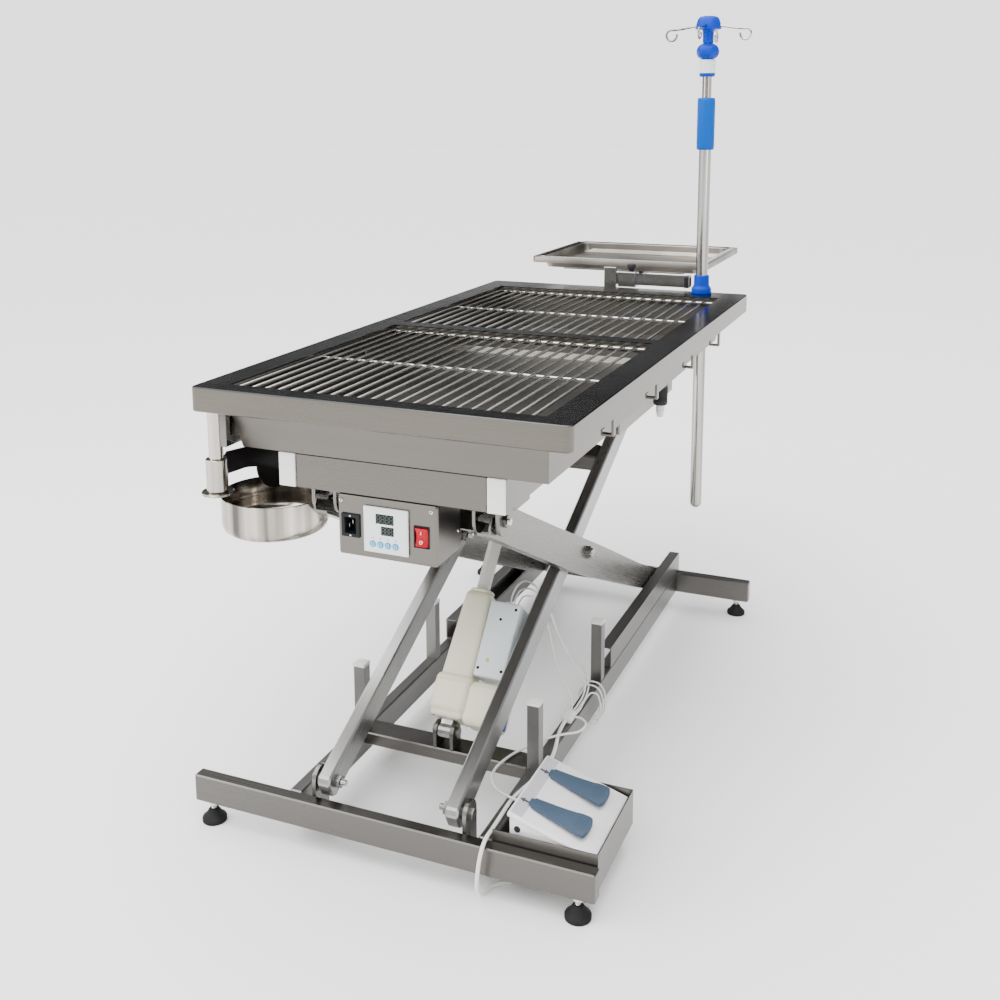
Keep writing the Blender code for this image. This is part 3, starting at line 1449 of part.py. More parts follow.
rod = cylinder(
    "actuator_rod",
    ROD_RADIUS,
    (0.0, *on_actuator(0.160)),
    (0.0, *on_actuator(REACH - 0.010)),
    CREAM,
    pivot=(0.0, *on_actuator(BODY_END)),
    sides=20,
)
join(
    rod,
    cylinder("rod_eye", 0.0145, (-0.0148, head_y, head_z), (0.0148, head_y, head_z), STEEL, sides=20),
)
actuator_block("control_unit", 0.092, 0.222, -0.046, 0.028, 0.0305, 0.086, PALE_BLUE, 0.004)

# Foot switch in its tray beside the right rail.
SWITCH_TRAY = {"x": (RAIL_X[1] + GAP, 0.3330), "y": (NEAR_BEAM_Y[1] + GAP, 0.2085)}
footswitch_tray = block(
    "footswitch_tray",
    (SWITCH_TRAY["x"][0], SWITCH_TRAY["y"][0], BASE_BOTTOM + 0.0060),
    (SWITCH_TRAY["x"][1], SWITCH_TRAY["y"][1], 0.0965),
    STEEL,
)
cut(
    footswitch_tray,
    block(
        "tray_hollow",
        (SWITCH_TRAY["x"][0] + 0.0015, SWITCH_TRAY["y"][0] + 0.0015, BASE_BOTTOM + 0.0075),
        (SWITCH_TRAY["x"][1] - 0.0015, SWITCH_TRAY["y"][1] - 0.0015, 0.110),
        STEEL,
    ),
    block(
        "tray_low_side",
        (SWITCH_TRAY["x"][0] - 0.01, SWITCH_TRAY["y"][0] + 0.0015, BASE_TOP),
        (SWITCH_TRAY["x"][0] + 0.0077, 0.220, 0.110),
        STEEL,
    ),
)
SWITCH_HIGH, SWITCH_LOW = (0.194, 0.127), (0.3270, 0.086)
SLOPE = (SWITCH_LOW[1] - SWITCH_HIGH[1]) / (SWITCH_LOW[0] - SWITCH_HIGH[0])


def switch_top(x):
    return SWITCH_HIGH[1] + SLOPE * (x - SWITCH_HIGH[0])


SWITCH_FLOOR = BASE_BOTTOM + 0.0078
body_outline = [(SWITCH_HIGH[0], SWITCH_FLOOR), (SWITCH_LOW[0], SWITCH_FLOOR), SWITCH_LOW, SWITCH_HIGH]
footswitch = prism("footswitch_body", body_outline, 0.0370, 0.2040, WHITE, axis="Y")
round_edges(footswitch, 0.004, 2)

PEDAL_HINGE_X = 0.2160
PEDAL_OUTLINE = [
    (0.2135, -0.0070),
    (0.2290, -0.0160),
    (0.2600, -0.0210),
    (0.2920, -0.0240),
    (0.3010, -0.0225),
    (0.3060, -0.0160),
    (0.3060, 0.0160),
    (0.3010, 0.0225),
    (0.2920, 0.0240),
    (0.2600, 0.0210),
    (0.2290, 0.0160),
    (0.2135, 0.0070),
]
for side, centre_y in (("near", 0.0780), ("far", 0.1620)):
    outline = [(x, centre_y + y) for x, y in PEDAL_OUTLINE]
    hinge = (PEDAL_HINGE_X, centre_y, switch_top(PEDAL_HINGE_X) + 0.003)
    pedal = prism(f"pedal_{side}", outline, 0.0, 0.005, SLATE, pivot=(0, 0, 0), axis="Z")
    for vertex in pedal.data.vertices:
        lifted = 0.0008 + 0.0062 * (vertex.co.x - 0.2135) / 0.0925
        vertex.co.z += switch_top(vertex.co.x) + lifted
    pedal.data.transform(Matrix.Translation(-Vector(hinge)))
    pedal.location = hinge
    round_edges(pedal, 0.0015, 2)

# Pedal lead: from the clamp on the rail, in a loop over the flat beam, to the foot switch.
clamp_mid_y = sum(CABLE_CLAMP_Y) / 2
PEDAL_ROUTE = [
    (0.1710, clamp_mid_y, 0.0870),
    (0.1850, clamp_mid_y - 0.001, 0.0870),
    (0.1980, 0.3850, 0.0860),
    (0.1960, 0.3520, 0.0890),
    (0.1740, 0.3310, 0.0900),
    (0.1460, 0.3050, 0.0870),
    (0.1180, 0.2600, 0.0830),
    (0.1070, 0.2120, 0.0840),
    (0.1130, 0.1720, 0.0870),
    (0.1340, 0.1400, 0.0900),
    (0.1590, 0.1280, 0.0900),
    (0.1780, 0.1220, 0.0910),
    (0.1937, 0.1200, 0.0910),
]
pedal_points = smooth_route(PEDAL_ROUTE, 0.012)
pedal_points[0].x = 0.1708
wire("pedal_cord", pedal_points, PEDAL_LEAD_DIAMETER / 2, WHITE, resolution=2)

# Mains lead: along the rail, over the near beam, under it and into a coil with its plug.
MAINS_ROUTE = [
    (0.1610, CABLE_CLAMP_Y[0] - GAP, 0.0850),
    (0.1610, 0.3700, 0.0845),
    (0.1640, 0.3400, 0.0825),
    (0.1720, 0.3050, 0.0825),
    (0.1780, 0.2700, 0.0825),
    (0.1785, 0.2350, 0.0825),
    (0.1740, 0.2000, 0.0825),
    (0.1670, 0.1650, 0.0825),
    (0.1620, 0.1300, 0.0825),
    (0.1630, 0.0840, 0.0825),
    (0.1640, 0.0500, 0.0830),
    (0.1660, 0.0250, 0.0860),
    (0.1680, 0.0060, 0.0830),
    (0.1690, -0.0080, 0.0710),
    (0.1680, -0.0120, 0.0540),
    (0.1660, -0.0110, 0.0350),
    (0.1650, -0.0050, 0.0180),
    (0.1650, 0.0080, 0.0065),
    (0.1660, 0.0240, 0.0034),
    (0.1740, 0.0400, 0.0034),
    (0.1880, 0.0500, 0.0034),
    (0.2030, 0.0610, 0.0034),
    (0.2130, 0.0740, 0.0034),
    (0.2196, 0.0905, 0.0034),
]
COIL_X, COIL_Y = 0.262, 0.105
COIL_MEAN_RADIUS = 0.033
COIL_HALF_WIDTH = 0.0092
COIL_HEIGHT = 0.0186
mains_points = smooth_route(MAINS_ROUTE, 0.015)
wire("mains_cord", mains_points, MAINS_DIAMETER / 2, WHITE, resolution=2)
turned(
    "mains_coil",
    [
        (COIL_MEAN_RADIUS + COIL_HALF_WIDTH - 0.003, COIL_HEIGHT),
        (COIL_MEAN_RADIUS + COIL_HALF_WIDTH, COIL_HEIGHT - 0.003),
        (COIL_MEAN_RADIUS + COIL_HALF_WIDTH, 0.0033),
        (COIL_MEAN_RADIUS + COIL_HALF_WIDTH - 0.003, 0.0003),
        (COIL_MEAN_RADIUS - COIL_HALF_WIDTH + 0.003, 0.0003),
        (COIL_MEAN_RADIUS - COIL_HALF_WIDTH, 0.0033),
        (COIL_MEAN_RADIUS - COIL_HALF_WIDTH, COIL_HEIGHT - 0.003),
        (COIL_MEAN_RADIUS - COIL_HALF_WIDTH + 0.003, COIL_HEIGHT),
    ],
    (COIL_X, COIL_Y),
    WHITE,
    steps=24,
    closed=True,
)
PLUG_X = COIL_X - COIL_MEAN_RADIUS - COIL_HALF_WIDTH + MAINS_DIAMETER / 2
PLUG_Z = 0.0135
RELIEF_Y = COIL_Y + 0.0237
PLUG_Y = (RELIEF_Y + 0.0253, RELIEF_Y + 0.0558)
plug = cylinder(
    "mains_plug",
    0.0125,
    (PLUG_X, PLUG_Y[0], PLUG_Z),
    (PLUG_X, PLUG_Y[1], PLUG_Z),
    WHITE,
    sides=20,
    end_radius=0.013,
)
relief = cylinder(
    "plug_relief",
    0.0040,
    (PLUG_X, RELIEF_Y, PLUG_Z),
    (PLUG_X, PLUG_Y[0] + 0.001, PLUG_Z),
    WHITE,
    sides=12,
    end_radius=0.007,
)
join(plug, relief)
for s in (-1, 1):
    pin_x = PLUG_X + s * 0.0065
    pin = cylinder(
        f"plug_pin_{s}",
        0.0024,
        (pin_x, PLUG_Y[1] - 0.0005, PLUG_Z),
        (pin_x, PLUG_Y[1] + 0.0190, PLUG_Z),
        BRIGHT_STEEL,
        sides=10,
    )
    join(plug, pin)

# Put the origin on the floor at the middle of the footprint.
for group in (PARTS, TOOLS):
    for ob in group.objects:
        ob.location.y -= FOOTPRINT_MIDDLE_Y
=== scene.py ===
import math

import bmesh
import bpy
from mathutils import Matrix, Vector


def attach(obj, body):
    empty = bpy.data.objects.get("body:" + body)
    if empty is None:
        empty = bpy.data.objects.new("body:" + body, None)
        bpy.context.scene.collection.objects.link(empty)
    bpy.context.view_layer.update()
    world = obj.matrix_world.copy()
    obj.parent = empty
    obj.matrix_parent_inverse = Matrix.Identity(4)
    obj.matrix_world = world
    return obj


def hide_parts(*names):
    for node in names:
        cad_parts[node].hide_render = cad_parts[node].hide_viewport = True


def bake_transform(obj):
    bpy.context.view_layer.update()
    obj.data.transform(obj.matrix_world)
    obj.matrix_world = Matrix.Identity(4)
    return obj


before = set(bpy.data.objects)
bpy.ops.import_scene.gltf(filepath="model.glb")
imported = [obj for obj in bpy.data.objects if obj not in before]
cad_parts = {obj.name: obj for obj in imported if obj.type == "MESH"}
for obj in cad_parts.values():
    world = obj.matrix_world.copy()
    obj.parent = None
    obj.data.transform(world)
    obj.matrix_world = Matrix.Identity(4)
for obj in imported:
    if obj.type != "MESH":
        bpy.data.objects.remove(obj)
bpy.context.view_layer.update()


# The studio: a pale floor that runs out of sight, a soft light overhead and one on each
# side, and surroundings that are white low down and grey above, as in a photo studio.
# The camera stands at the near right of the table, a little above it.
class Flow:
    """One socket of a material. Plain arithmetic on it adds the Math nodes that it needs."""

    def __init__(self, tree, socket=None):
        self.tree = tree
        self.socket = socket

    def node(self, kind, settings=None, sockets=None, result=0):
        made = self.tree.nodes.new(kind)
        for name, value in (settings or {}).items():
            if name == "stops":
                stops = made.color_ramp.elements
                while len(stops) < len(value):
                    stops.new(1.0)
                for stop, (place, shade) in zip(stops, value):
                    stop.position = place
                    stop.color = (*shade, 1.0)
            else:
                setattr(made, name, value)
        for name, value in (sockets or {}).items():
            if isinstance(value, Flow):
                self.tree.links.new(value.socket, made.inputs[name])
            else:
                made.inputs[name].default_value = value
        return Flow(self.tree, made.outputs[result] if made.outputs else None)

    def math(self, operation, first, second=0.0):
        return self.node("ShaderNodeMath", {"operation": operation}, {0: first, 1: second})

    def __add__(self, other):
        return self.math("ADD", self, other)

    __radd__ = __add__

    def __sub__(self, other):
        return self.math("SUBTRACT", self, other)

    def __rsub__(self, other):
        return self.math("SUBTRACT", other, self)

    def __mul__(self, other):
        return self.math("MULTIPLY", self, other)

    __rmul__ = __mul__

    def __gt__(self, other):
        return self.math("GREATER_THAN", self, other)


def soft_light(name, place, aim, width, height, power, shade):
    lamp = bpy.data.lights.new(name, "AREA")
    lamp.shape = "RECTANGLE"
    lamp.size = width
    lamp.size_y = height
    lamp.energy = power
    lamp.color = shade
    stand = bpy.data.objects.new(name, lamp)
    stand.location = place
    stand.rotation_euler = (Vector(aim) - Vector(place)).to_track_quat("-Z", "Y").to_euler()
    bpy.context.scene.collection.objects.link(stand)


soft_light("overhead_light", (-0.4, -0.5, 3.4), (0, 0, 0.5), 2.6, 2.6, 70, (1.0, 0.99, 0.97))
soft_light("left_light", (-2.6, -2.6, 1.7), (0, -0.2, 0.5), 1.6, 1.8, 40, (1.0, 0.98, 0.95))
soft_light("right_light", (2.9, -1.3, 1.3), (0, 0, 0.4), 1.2, 1.6, 18, (0.96, 0.98, 1.0))
sky_light = bpy.data.lights.new("even_light", "SUN")
sky_light.energy = 6.4
sky_light.angle = 1.9
sky = bpy.data.objects.new("even_light", sky_light)
sky.rotation_euler = (0.25, -0.2, 0.0)
bpy.context.scene.collection.objects.link(sky)

surroundings = bpy.data.worlds.new("studio_walls")
bpy.context.scene.world = surroundings
surroundings.use_nodes = True
surroundings.node_tree.nodes.clear()
walls = Flow(surroundings.node_tree)
facing = walls.node("ShaderNodeTexCoord", result="Generated")
height = walls.node("ShaderNodeSeparateXYZ", {}, {0: facing}, "Z")
depth = walls.node("ShaderNodeSeparateXYZ", {}, {0: facing}, "Y")
low_wall = walls.node(
    "ShaderNodeValToRGB",
    {"stops": [(0.0, (2.2, 2.2, 2.2)), (0.092, (2.2, 2.2, 2.2)), (0.118, (0.06, 0.06, 0.065)),
               (0.45, (0.12, 0.12, 0.12)), (0.62, (0.90, 0.90, 0.92)), (0.8, (1.3, 1.3, 1.3))]},
    {0: height},
    "Color",
)
behind = walls.node(
    "ShaderNodeValToRGB",
    {"stops": [(0.0, (0.50, 0.48, 0.45)), (0.20, (0.30, 0.28, 0.26)), (0.5, (0.42, 0.42, 0.42)),
               (0.9, (0.75, 0.75, 0.75))]},
    {0: height},
    "Color",
)
seen = walls.node(
    "ShaderNodeMix",
    {"data_type": "RGBA", "blend_type": "MIX"},
    {0: walls.node("ShaderNodeMapRange", {"interpolation_type": "SMOOTHSTEP"}, {0: depth, 1: -0.25, 2: 0.25}), 6: behind, 7: low_wall},
    2,
)
light_from_walls = walls.node("ShaderNodeBackground", {}, {"Color": seen, "Strength": 1.0})
walls.node("ShaderNodeOutputWorld", {}, {"Surface": light_from_walls})

floor_shape = bmesh.new()
bmesh.ops.create_grid(floor_shape, x_segments=1, y_segments=1, size=30.0)
floor_mesh = bpy.data.meshes.new("studio_floor")
floor_shape.to_mesh(floor_mesh)
floor_shape.free()
floor = bpy.data.objects.new("studio_floor", floor_mesh)
bpy.context.scene.collection.objects.link(floor)
floor_paint = bpy.data.materials.new("floor_paint")
floor_paint.use_nodes = True
floor_paint.node_tree.nodes["Principled BSDF"].inputs["Base Color"].default_value = (0.90, 0.90, 0.90, 1)
floor_paint.node_tree.nodes["Principled BSDF"].inputs["Roughness"].default_value = 0.7
floor_mesh.materials.append(floor_paint)

yaw, pitch, roll = 0.3992, 0.1787, -0.0043
forward = Vector((-math.sin(yaw) * math.cos(pitch), math.cos(yaw) * math.cos(pitch), -math.sin(pitch)))
level_right = Vector((math.cos(yaw), math.sin(yaw), 0.0))
level_up = level_right.cross(forward)
right = level_right * math.cos(roll) + level_up * math.sin(roll)
up = level_up * math.cos(roll) - level_right * math.sin(roll)
lens = bpy.data.cameras.new("camera")
lens.lens = 42.68
lens.sensor_width = 36.0
lens.shift_x = 0.00845
lens.shift_y = -0.178
camera = bpy.data.objects.new("camera", lens)
camera.matrix_world = Matrix.Translation((0.7813, -2.2059, 1.1264)) @ Matrix((right, up, -forward)).transposed().to_4x4()
bpy.context.scene.collection.objects.link(camera)
bpy.context.scene.camera = camera


# Mains lead: a white round lead, 6 mm thick, from the clamp on the right rail, over and
# under the near beam and into a neat coil under the foot switch, with a moulded plug.
def at(x, y, z):
    """A point given from the near edge of the table top, in the frame's metres."""
    return Vector((x, y - 0.800, z))


def smooth_line(knots, spacing):
    """Evenly spaced points on a smooth curve through the knots."""
    knots = [Vector(knot) for knot in knots]
    ends = [2 * knots[0] - knots[1], *knots, 2 * knots[-1] - knots[-2]]
    fine = []
    for a, b, c, d in zip(ends, ends[1:], ends[2:], ends[3:]):
        for step in range(24):
            t = step / 24
            fine.append(0.5 * (2 * b + (c - a) * t + (2 * a - 5 * b + 4 * c - d) * t ** 2
                               + (3 * b - 3 * c + d - a) * t ** 3))
    fine.append(knots[-1])
    total = sum((q - p).length for p, q in zip(fine, fine[1:]))
    count = max(2, round(total / spacing))
    line, walked = [fine[0]], 0.0
    for p, q in zip(fine, fine[1:]):
        length = (q - p).length
        while length > 0 and len(line) < count and walked + length >= len(line) * total / count:
            line.append(p.lerp(q, (len(line) * total / count - walked) / length))
        walked += length
    return [*line, fine[-1]]


def line_length(line):
    return sum((q - p).length for p, q in zip(line, line[1:]))


def round_line(name, line, radius, finish, sides=5):
    """A round lead or wire along a line, as a curve of one open spline."""
    curve = bpy.data.curves.new(name, "CURVE")
    curve.dimensions = "3D"
    curve.bevel_depth = radius
    curve.bevel_resolution = sides
    curve.use_fill_caps = True
    spline = curve.splines.new("POLY")
    spline.points.add(len(line) - 1)
    for point, place in zip(spline.points, line):
        point.co = (*place, 1.0)
    curve.materials.append(finish)
    drawn = bpy.data.objects.new(name, curve)
    bpy.context.scene.collection.objects.link(drawn)
    return drawn


def start_finish(name):
    made = bpy.data.materials.new(name)
    made.use_nodes = True
    made.node_tree.nodes.clear()
    return made, Flow(made.node_tree)


def end_finish(start, sockets):
    shader = start.node("ShaderNodeBsdfPrincipled", {}, sockets, "BSDF")
    start.node("ShaderNodeOutputMaterial", {}, {"Surface": shader})


def stretched(start, scale, turn=(0.0, 0.0, 0.0)):
    place = start.node("ShaderNodeTexCoord", result="Object")
    if any(turn):
        place = start.node("ShaderNodeMapping", {}, {"Vector": place, "Rotation": turn})
    return start.node("ShaderNodeMapping", {}, {"Vector": place, "Scale": scale})


def noise(start, scale, fineness=1.0, detail=2.0, turn=(0.0, 0.0, 0.0)):
    return start.node(
        "ShaderNodeTexNoise", {}, {"Vector": stretched(start, scale, turn), "Scale": fineness, "Detail": detail}
    )


def between(start, amount, first, second):
    return start.node(
        "ShaderNodeMix", {"data_type": "RGBA"}, {0: amount, 6: (*first, 1.0), 7: (*second, 1.0)}, 2
    )


def bumped(start, height, strength, distance):
    return start.node(
        "ShaderNodeBump", {}, {"Height": height, "Strength": strength, "Distance": distance}, "Normal"
    )


def moulded(name, colour, roughness=0.45, grain=900.0, depth=0.12, dust=0.06, coat=0.0, ior=1.45):
    """Moulded plastic: a fine even texture, a faint change of shade and duller patches."""
    made, start = start_finish(name)
    patches = noise(start, (1, 1, 1), 14.0, 3.0)
    texture = noise(start, (1, 1, 1), grain, 1.0)
    darker = tuple(c * (1 - dust * 1.6) for c in colour)
    lighter = tuple(min(1.0, c * (1 + dust)) for c in colour)
    end_finish(start, {
        "Base Color": between(start, patches, darker, lighter),
        "Roughness": patches * 0.14 + (roughness - 0.07),
        "Coat Weight": coat,
        "IOR": ior,
        "Normal": bumped(start, texture, depth, 0.0004),
    })
    return made


def keep(name, shape, finish, body, replaces=(), sharp=38.0, level=0):
    """Make a finished bmesh into a piece of the table that rides on a body."""
    bmesh.ops.remove_doubles(shape, verts=shape.verts, dist=1e-6)
    bmesh.ops.recalc_face_normals(shape, faces=shape.faces)
    mesh = bpy.data.meshes.new(name)
    shape.to_mesh(mesh)
    shape.free()
    mesh.shade_smooth()
    mesh.set_sharp_from_angle(angle=math.radians(sharp))
    mesh.materials.append(finish)
    piece = bpy.data.objects.new(name, mesh)
    bpy.context.scene.collection.objects.link(piece)
    if level:
        rounder = piece.modifiers.new("rounder", "SUBSURF")
        rounder.levels = level
        rounder.render_levels = level
    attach(piece, body)
    if replaces:
        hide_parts(*replaces)
    return piece


def soften(shape, width, segments=3, angle=30.0):
    """Round every edge of the shape that turns by more than the angle."""
    bmesh.ops.remove_doubles(shape, verts=shape.verts, dist=1e-6)
    bmesh.ops.recalc_face_normals(shape, faces=shape.faces)
    edges = [e for e in shape.edges if e.is_manifold and e.calc_face_angle(0.0) > math.radians(angle)]
    bmesh.ops.bevel(shape, geom=edges, offset=width, offset_type="OFFSET", affect="EDGES",
                    segments=segments, profile=0.5, material=-1, clamp_overlap=True)
    return shape


def lathe(profile, centre, steps=56, closed=False):
    """Turn a profile of (radius, height) points about an upright line."""
    shape = bmesh.new()
    points = [shape.verts.new((r, 0.0, z)) for r, z in profile]
    edges = [shape.edges.new(pair) for pair in zip(points, points[1:])]
    if closed:
        edges.append(shape.edges.new((points[-1], points[0])))
    bmesh.ops.spin(shape, geom=points + edges, angle=2 * math.pi, steps=steps, axis=(0, 0, 1),
                   cent=(0, 0, 0), use_merge=True)
    bmesh.ops.remove_doubles(shape, verts=shape.verts, dist=1e-6)
    bmesh.ops.recalc_face_normals(shape, faces=shape.faces)
    bmesh.ops.translate(shape, verts=shape.verts, vec=Vector(centre))
    return shape


def turn_to(shape, place, direction):
    """Move a shape drawn about the Z axis so that it stands at a place, facing a direction."""
    turned = Vector(direction).to_track_quat("Z", "Y").to_matrix().to_4x4()
    bmesh.ops.transform(shape, matrix=Matrix.Translation(place) @ turned, verts=shape.verts)
    return shape


sheath = moulded("lead_sheath", (0.80, 0.80, 0.77), roughness=0.50, grain=500.0, depth=0.05)
mains_knots = [
    (0.1610, 0.3847, 0.0850), (0.1610, 0.3700, 0.0845), (0.1640, 0.3400, 0.0825), (0.1720, 0.3050, 0.0825),
    (0.1780, 0.2700, 0.0825), (0.1785, 0.2350, 0.0825), (0.1740, 0.2000, 0.0825), (0.1670, 0.1650, 0.0825),
    (0.1620, 0.1300, 0.0825), (0.1630, 0.0840, 0.0825), (0.1640, 0.0500, 0.0830), (0.1660, 0.0250, 0.0860),
    (0.1680, 0.0060, 0.0830), (0.1690, -0.0080, 0.0710), (0.1680, -0.0120, 0.0540), (0.1660, -0.0110, 0.0350),
    (0.1650, -0.0050, 0.0180), (0.1650, 0.0080, 0.0065), (0.1660, 0.0240, 0.0034), (0.1740, 0.0400, 0.0034),
    (0.1880, 0.0500, 0.0034), (0.2030, 0.0610, 0.0034), (0.2130, 0.0740, 0.0034), (0.2196, 0.0905, 0.0034),
]
coil_x, coil_y = 0.262, 0.105
turns = [(0.0392, 0.0034), (0.0332, 0.0034), (0.0272, 0.0034), (0.0272, 0.0094), (0.0332, 0.0094),
         (0.0392, 0.0094), (0.0392, 0.0154)]
coil_knots = []
for step in range(7 * 24 + 1):
    turn = min(step / 24, 7 - 5 / 360)
    number = min(int(turn), 6)
    late = max(0.0, (turn - number - 0.78) / 0.22)
    late = late * late * (3 - 2 * late)
    here, after = turns[number], turns[min(number + 1, 6)]
    reach = here[0] + (after[0] - here[0]) * late
    angle = math.radians(175 - 360 * turn)
    coil_knots.append((coil_x + reach * math.cos(angle), coil_y + reach * math.sin(angle),
                       here[1] + (after[1] - here[1]) * late))
plug_x, plug_z = coil_x - 0.0392, 0.0135
lead_end = [(plug_x, coil_y + 0.012, 0.0150), (plug_x, coil_y + 0.026, 0.0137), (plug_x, coil_y + 0.038, plug_z)]
mains_line = smooth_line([at(*knot) for knot in mains_knots + coil_knots + lead_end], 0.0045)
mains_lead = round_line("mains_lead", mains_line, 0.003, sheath)
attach(mains_lead, "base")
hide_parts("mains_cord", "mains_coil")

plug_profile = [
    (0.0, 0.0), (0.0040, 0.0), (0.0046, 0.0060), (0.0042, 0.0070), (0.0042, 0.0085), (0.0052, 0.0095),
    (0.0054, 0.0155), (0.0048, 0.0165), (0.0048, 0.0180), (0.0062, 0.0195), (0.0070, 0.0250), (0.0110, 0.0275),
    (0.0128, 0.0300), (0.0130, 0.0420), (0.0118, 0.0445), (0.0118, 0.0475), (0.0130, 0.0500), (0.0130, 0.0545),
    (0.0120, 0.0556), (0.0, 0.0556),
]
plug_finish = moulded("plug_moulding", (0.82, 0.82, 0.79), roughness=0.4, depth=0.08)
plug_shape = turn_to(lathe(plug_profile, (0, 0, 0), 40), at(plug_x, coil_y + 0.0237, plug_z), (0, 1, 0))
mains_plug = keep("mains_plug_moulding", plug_shape, plug_finish, "base", ("mains_plug",))
pin_metal, start = start_finish("nickel_pins")
scuffs = noise(start, (1, 1, 1), 300.0, 2.0)
end_finish(start, {"Base Color": between(start, scuffs, (0.55, 0.54, 0.50), (0.72, 0.71, 0.67)), "Metallic": 1.0,
                   "Roughness": scuffs * 0.2 + 0.18})
pins = bmesh.new()
for side in (-0.0065, 0.0065):
    pin = turn_to(lathe([(0.0, -0.002), (0.0024, -0.002), (0.0024, 0.0170), (0.0018, 0.0190), (0.0, 0.0193)], (0, 0, 0), 20),
                  at(plug_x + side, coil_y + 0.0793, plug_z), (0, 1, 0))
    part = bpy.data.meshes.new("pin")
    pin.to_mesh(part)
    pin.free()
    pins.from_mesh(part)
    bpy.data.meshes.remove(part)
plug_pins = keep("mains_plug_pins", pins, pin_metal, "base")

tie_finish = moulded("cable_tie", (0.06, 0.06, 0.065), roughness=0.4)
tie = bmesh.new()
bmesh.ops.create_circle(tie, segments=32, radius=1.0)
for vertex in tie.verts:
    corner = max(abs(vertex.co.x), abs(vertex.co.y))
    squarer = 0.45 + 0.55 / max(corner, 0.71)
    vertex.co = Vector((vertex.co.x * squarer * 0.0101, 0.0, 0.0099 + vertex.co.y * squarer * 0.0096))
bmesh.ops.translate(tie, verts=tie.verts, vec=(0, -0.0017, 0))
swept = bmesh.ops.extrude_edge_only(tie, edges=tie.edges)
bmesh.ops.translate(tie, verts=[v for v in swept["geom"] if isinstance(v, bmesh.types.BMVert)], vec=(0, 0.0034, 0))
bmesh.ops.recalc_face_normals(tie, faces=tie.faces)
bmesh.ops.solidify(tie, geom=tie.faces[:], thickness=-0.0007)
bmesh.ops.transform(tie, matrix=Matrix.Translation(at(coil_x, coil_y, 0.0004)) @ Matrix.Rotation(math.radians(-20), 4, "Z")
                    @ Matrix.Translation((0.0332, 0, 0)), verts=tie.verts)
coil_tie = keep("coil_tie", tie, tie_finish, "base")
round(line_length(mains_line), 3)


# Pedal lead: a limp 4 mm lead from the clamp, in a loose loop across the flat beam and back
# over the rail into the side of the foot switch, with a short moulded gland where it enters the switch.
pedal_knots = [
    (0.1708, 0.4000, 0.0870), (0.1850, 0.3990, 0.0870), (0.1980, 0.3850, 0.0860), (0.1960, 0.3520, 0.0890),
    (0.1740, 0.3310, 0.0900), (0.1460, 0.3050, 0.0870), (0.1180, 0.2600, 0.0830), (0.1070, 0.2120, 0.0840),
    (0.1130, 0.1720, 0.0870), (0.1340, 0.1400, 0.0900), (0.1590, 0.1280, 0.0900), (0.1780, 0.1220, 0.0910),
    (0.1937, 0.1200, 0.0910),
]
pedal_line = smooth_line([at(*knot) for knot in pedal_knots], 0.006)
pedal_lead = round_line("pedal_lead", pedal_line, 0.002, sheath)
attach(pedal_lead, "base")
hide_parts("pedal_cord")
gland_shape = turn_to(lathe([(0.0021, 0.0), (0.0028, 0.0), (0.0034, 0.009), (0.0045, 0.010), (0.0045, 0.0125), (0.0021, 0.0125)],
                            (0, 0, 0), 28, True), at(0.1812, 0.1213, 0.0910), (1, -0.06, 0))
pedal_gland = keep("pedal_lead_gland", gland_shape, sheath, "base")
round(line_length(pedal_line), 3)


# Base: two 22 x 45 mm cross tubes, two rails on edge between them, a flat tube for the
# actuator, stop posts, and open channels for the lower rollers. Satin stainless, welded.
def brushed(name, tone, grain="Y", roughness=0.30, depth=0.10, warmth=0.03, lean=0.0):
    """Satin stainless: fine scratches along the grain, faint clouds and duller rubbed patches."""
    made, start = start_finish(name)
    fine = {"X": (9, 420, 420), "Y": (420, 9, 420), "Z": (420, 420, 9)}[grain]
    wide = {"X": (1.2, 30, 30), "Y": (30, 1.2, 30), "Z": (30, 30, 1.2)}[grain]
    lines = noise(start, fine, 1.0, 2.0, (lean, 0.0, 0.0))
    bands = noise(start, wide, 1.0, 2.0, (lean, 0.0, 0.0))
    clouds = noise(start, (1, 1, 1), 3.2, 3.0)
    dark = (tone * (1 - warmth) * 0.86, tone * (1 - warmth * 1.6) * 0.86, tone * (1 - warmth * 2.6) * 0.86)
    light = (tone * 1.06, tone * (1 - warmth * 0.5) * 1.06, tone * (1 - warmth) * 1.06)
    end_finish(start, {
        "Base Color": between(start, lines * 0.35 + bands * 0.35 + clouds * 0.3, dark, light),
        "Metallic": 1.0,
        "Roughness": lines * 0.12 + clouds * 0.10 + (roughness - 0.11),
        "Normal": bumped(start, lines, depth, 0.0003),
    })
    return made


def dress(finish, *names):
    for name in names:
        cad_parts[name].material_slots[0].material = finish


# Painted dark reflection: the cross tubes' stainless gets a darker tone than the rails, for the dark reflections on
# their faces.
cross_tube_steel = brushed("cross_tube_steel", 0.145, "X", 0.30, 0.12, 0.08)
rail_steel = brushed("rail_steel", 0.21, "Y", 0.33, 0.12, 0.04)
dress(cross_tube_steel, "base_near_beam", "base_far_beam", "base_mid_beam")
dress(rail_steel, "base_rail_left", "base_rail_right", "lower_channel_left", "lower_channel_right")
bracket_steel = brushed("bracket_steel", 0.20, "Z", 0.27, 0.10, 0.06)
dress(bracket_steel, "arm_bracket_left", "arm_bracket_right")
fine_steel = brushed("fine_steel", 0.32, "Z", 0.20, 0.05, 0.01)


def slab(low, high, width=0.0, segments=3):
    """A block between two corners, with its edges rounded."""
    shape = bmesh.new()
    low, high = at(*low), at(*high)
    place = Matrix.Translation((low + high) / 2) @ Matrix.Diagonal((*[abs(c) for c in high - low], 1.0))
    bmesh.ops.create_cube(shape, size=1.0, matrix=place)
    return soften(shape, width, segments) if width else shape
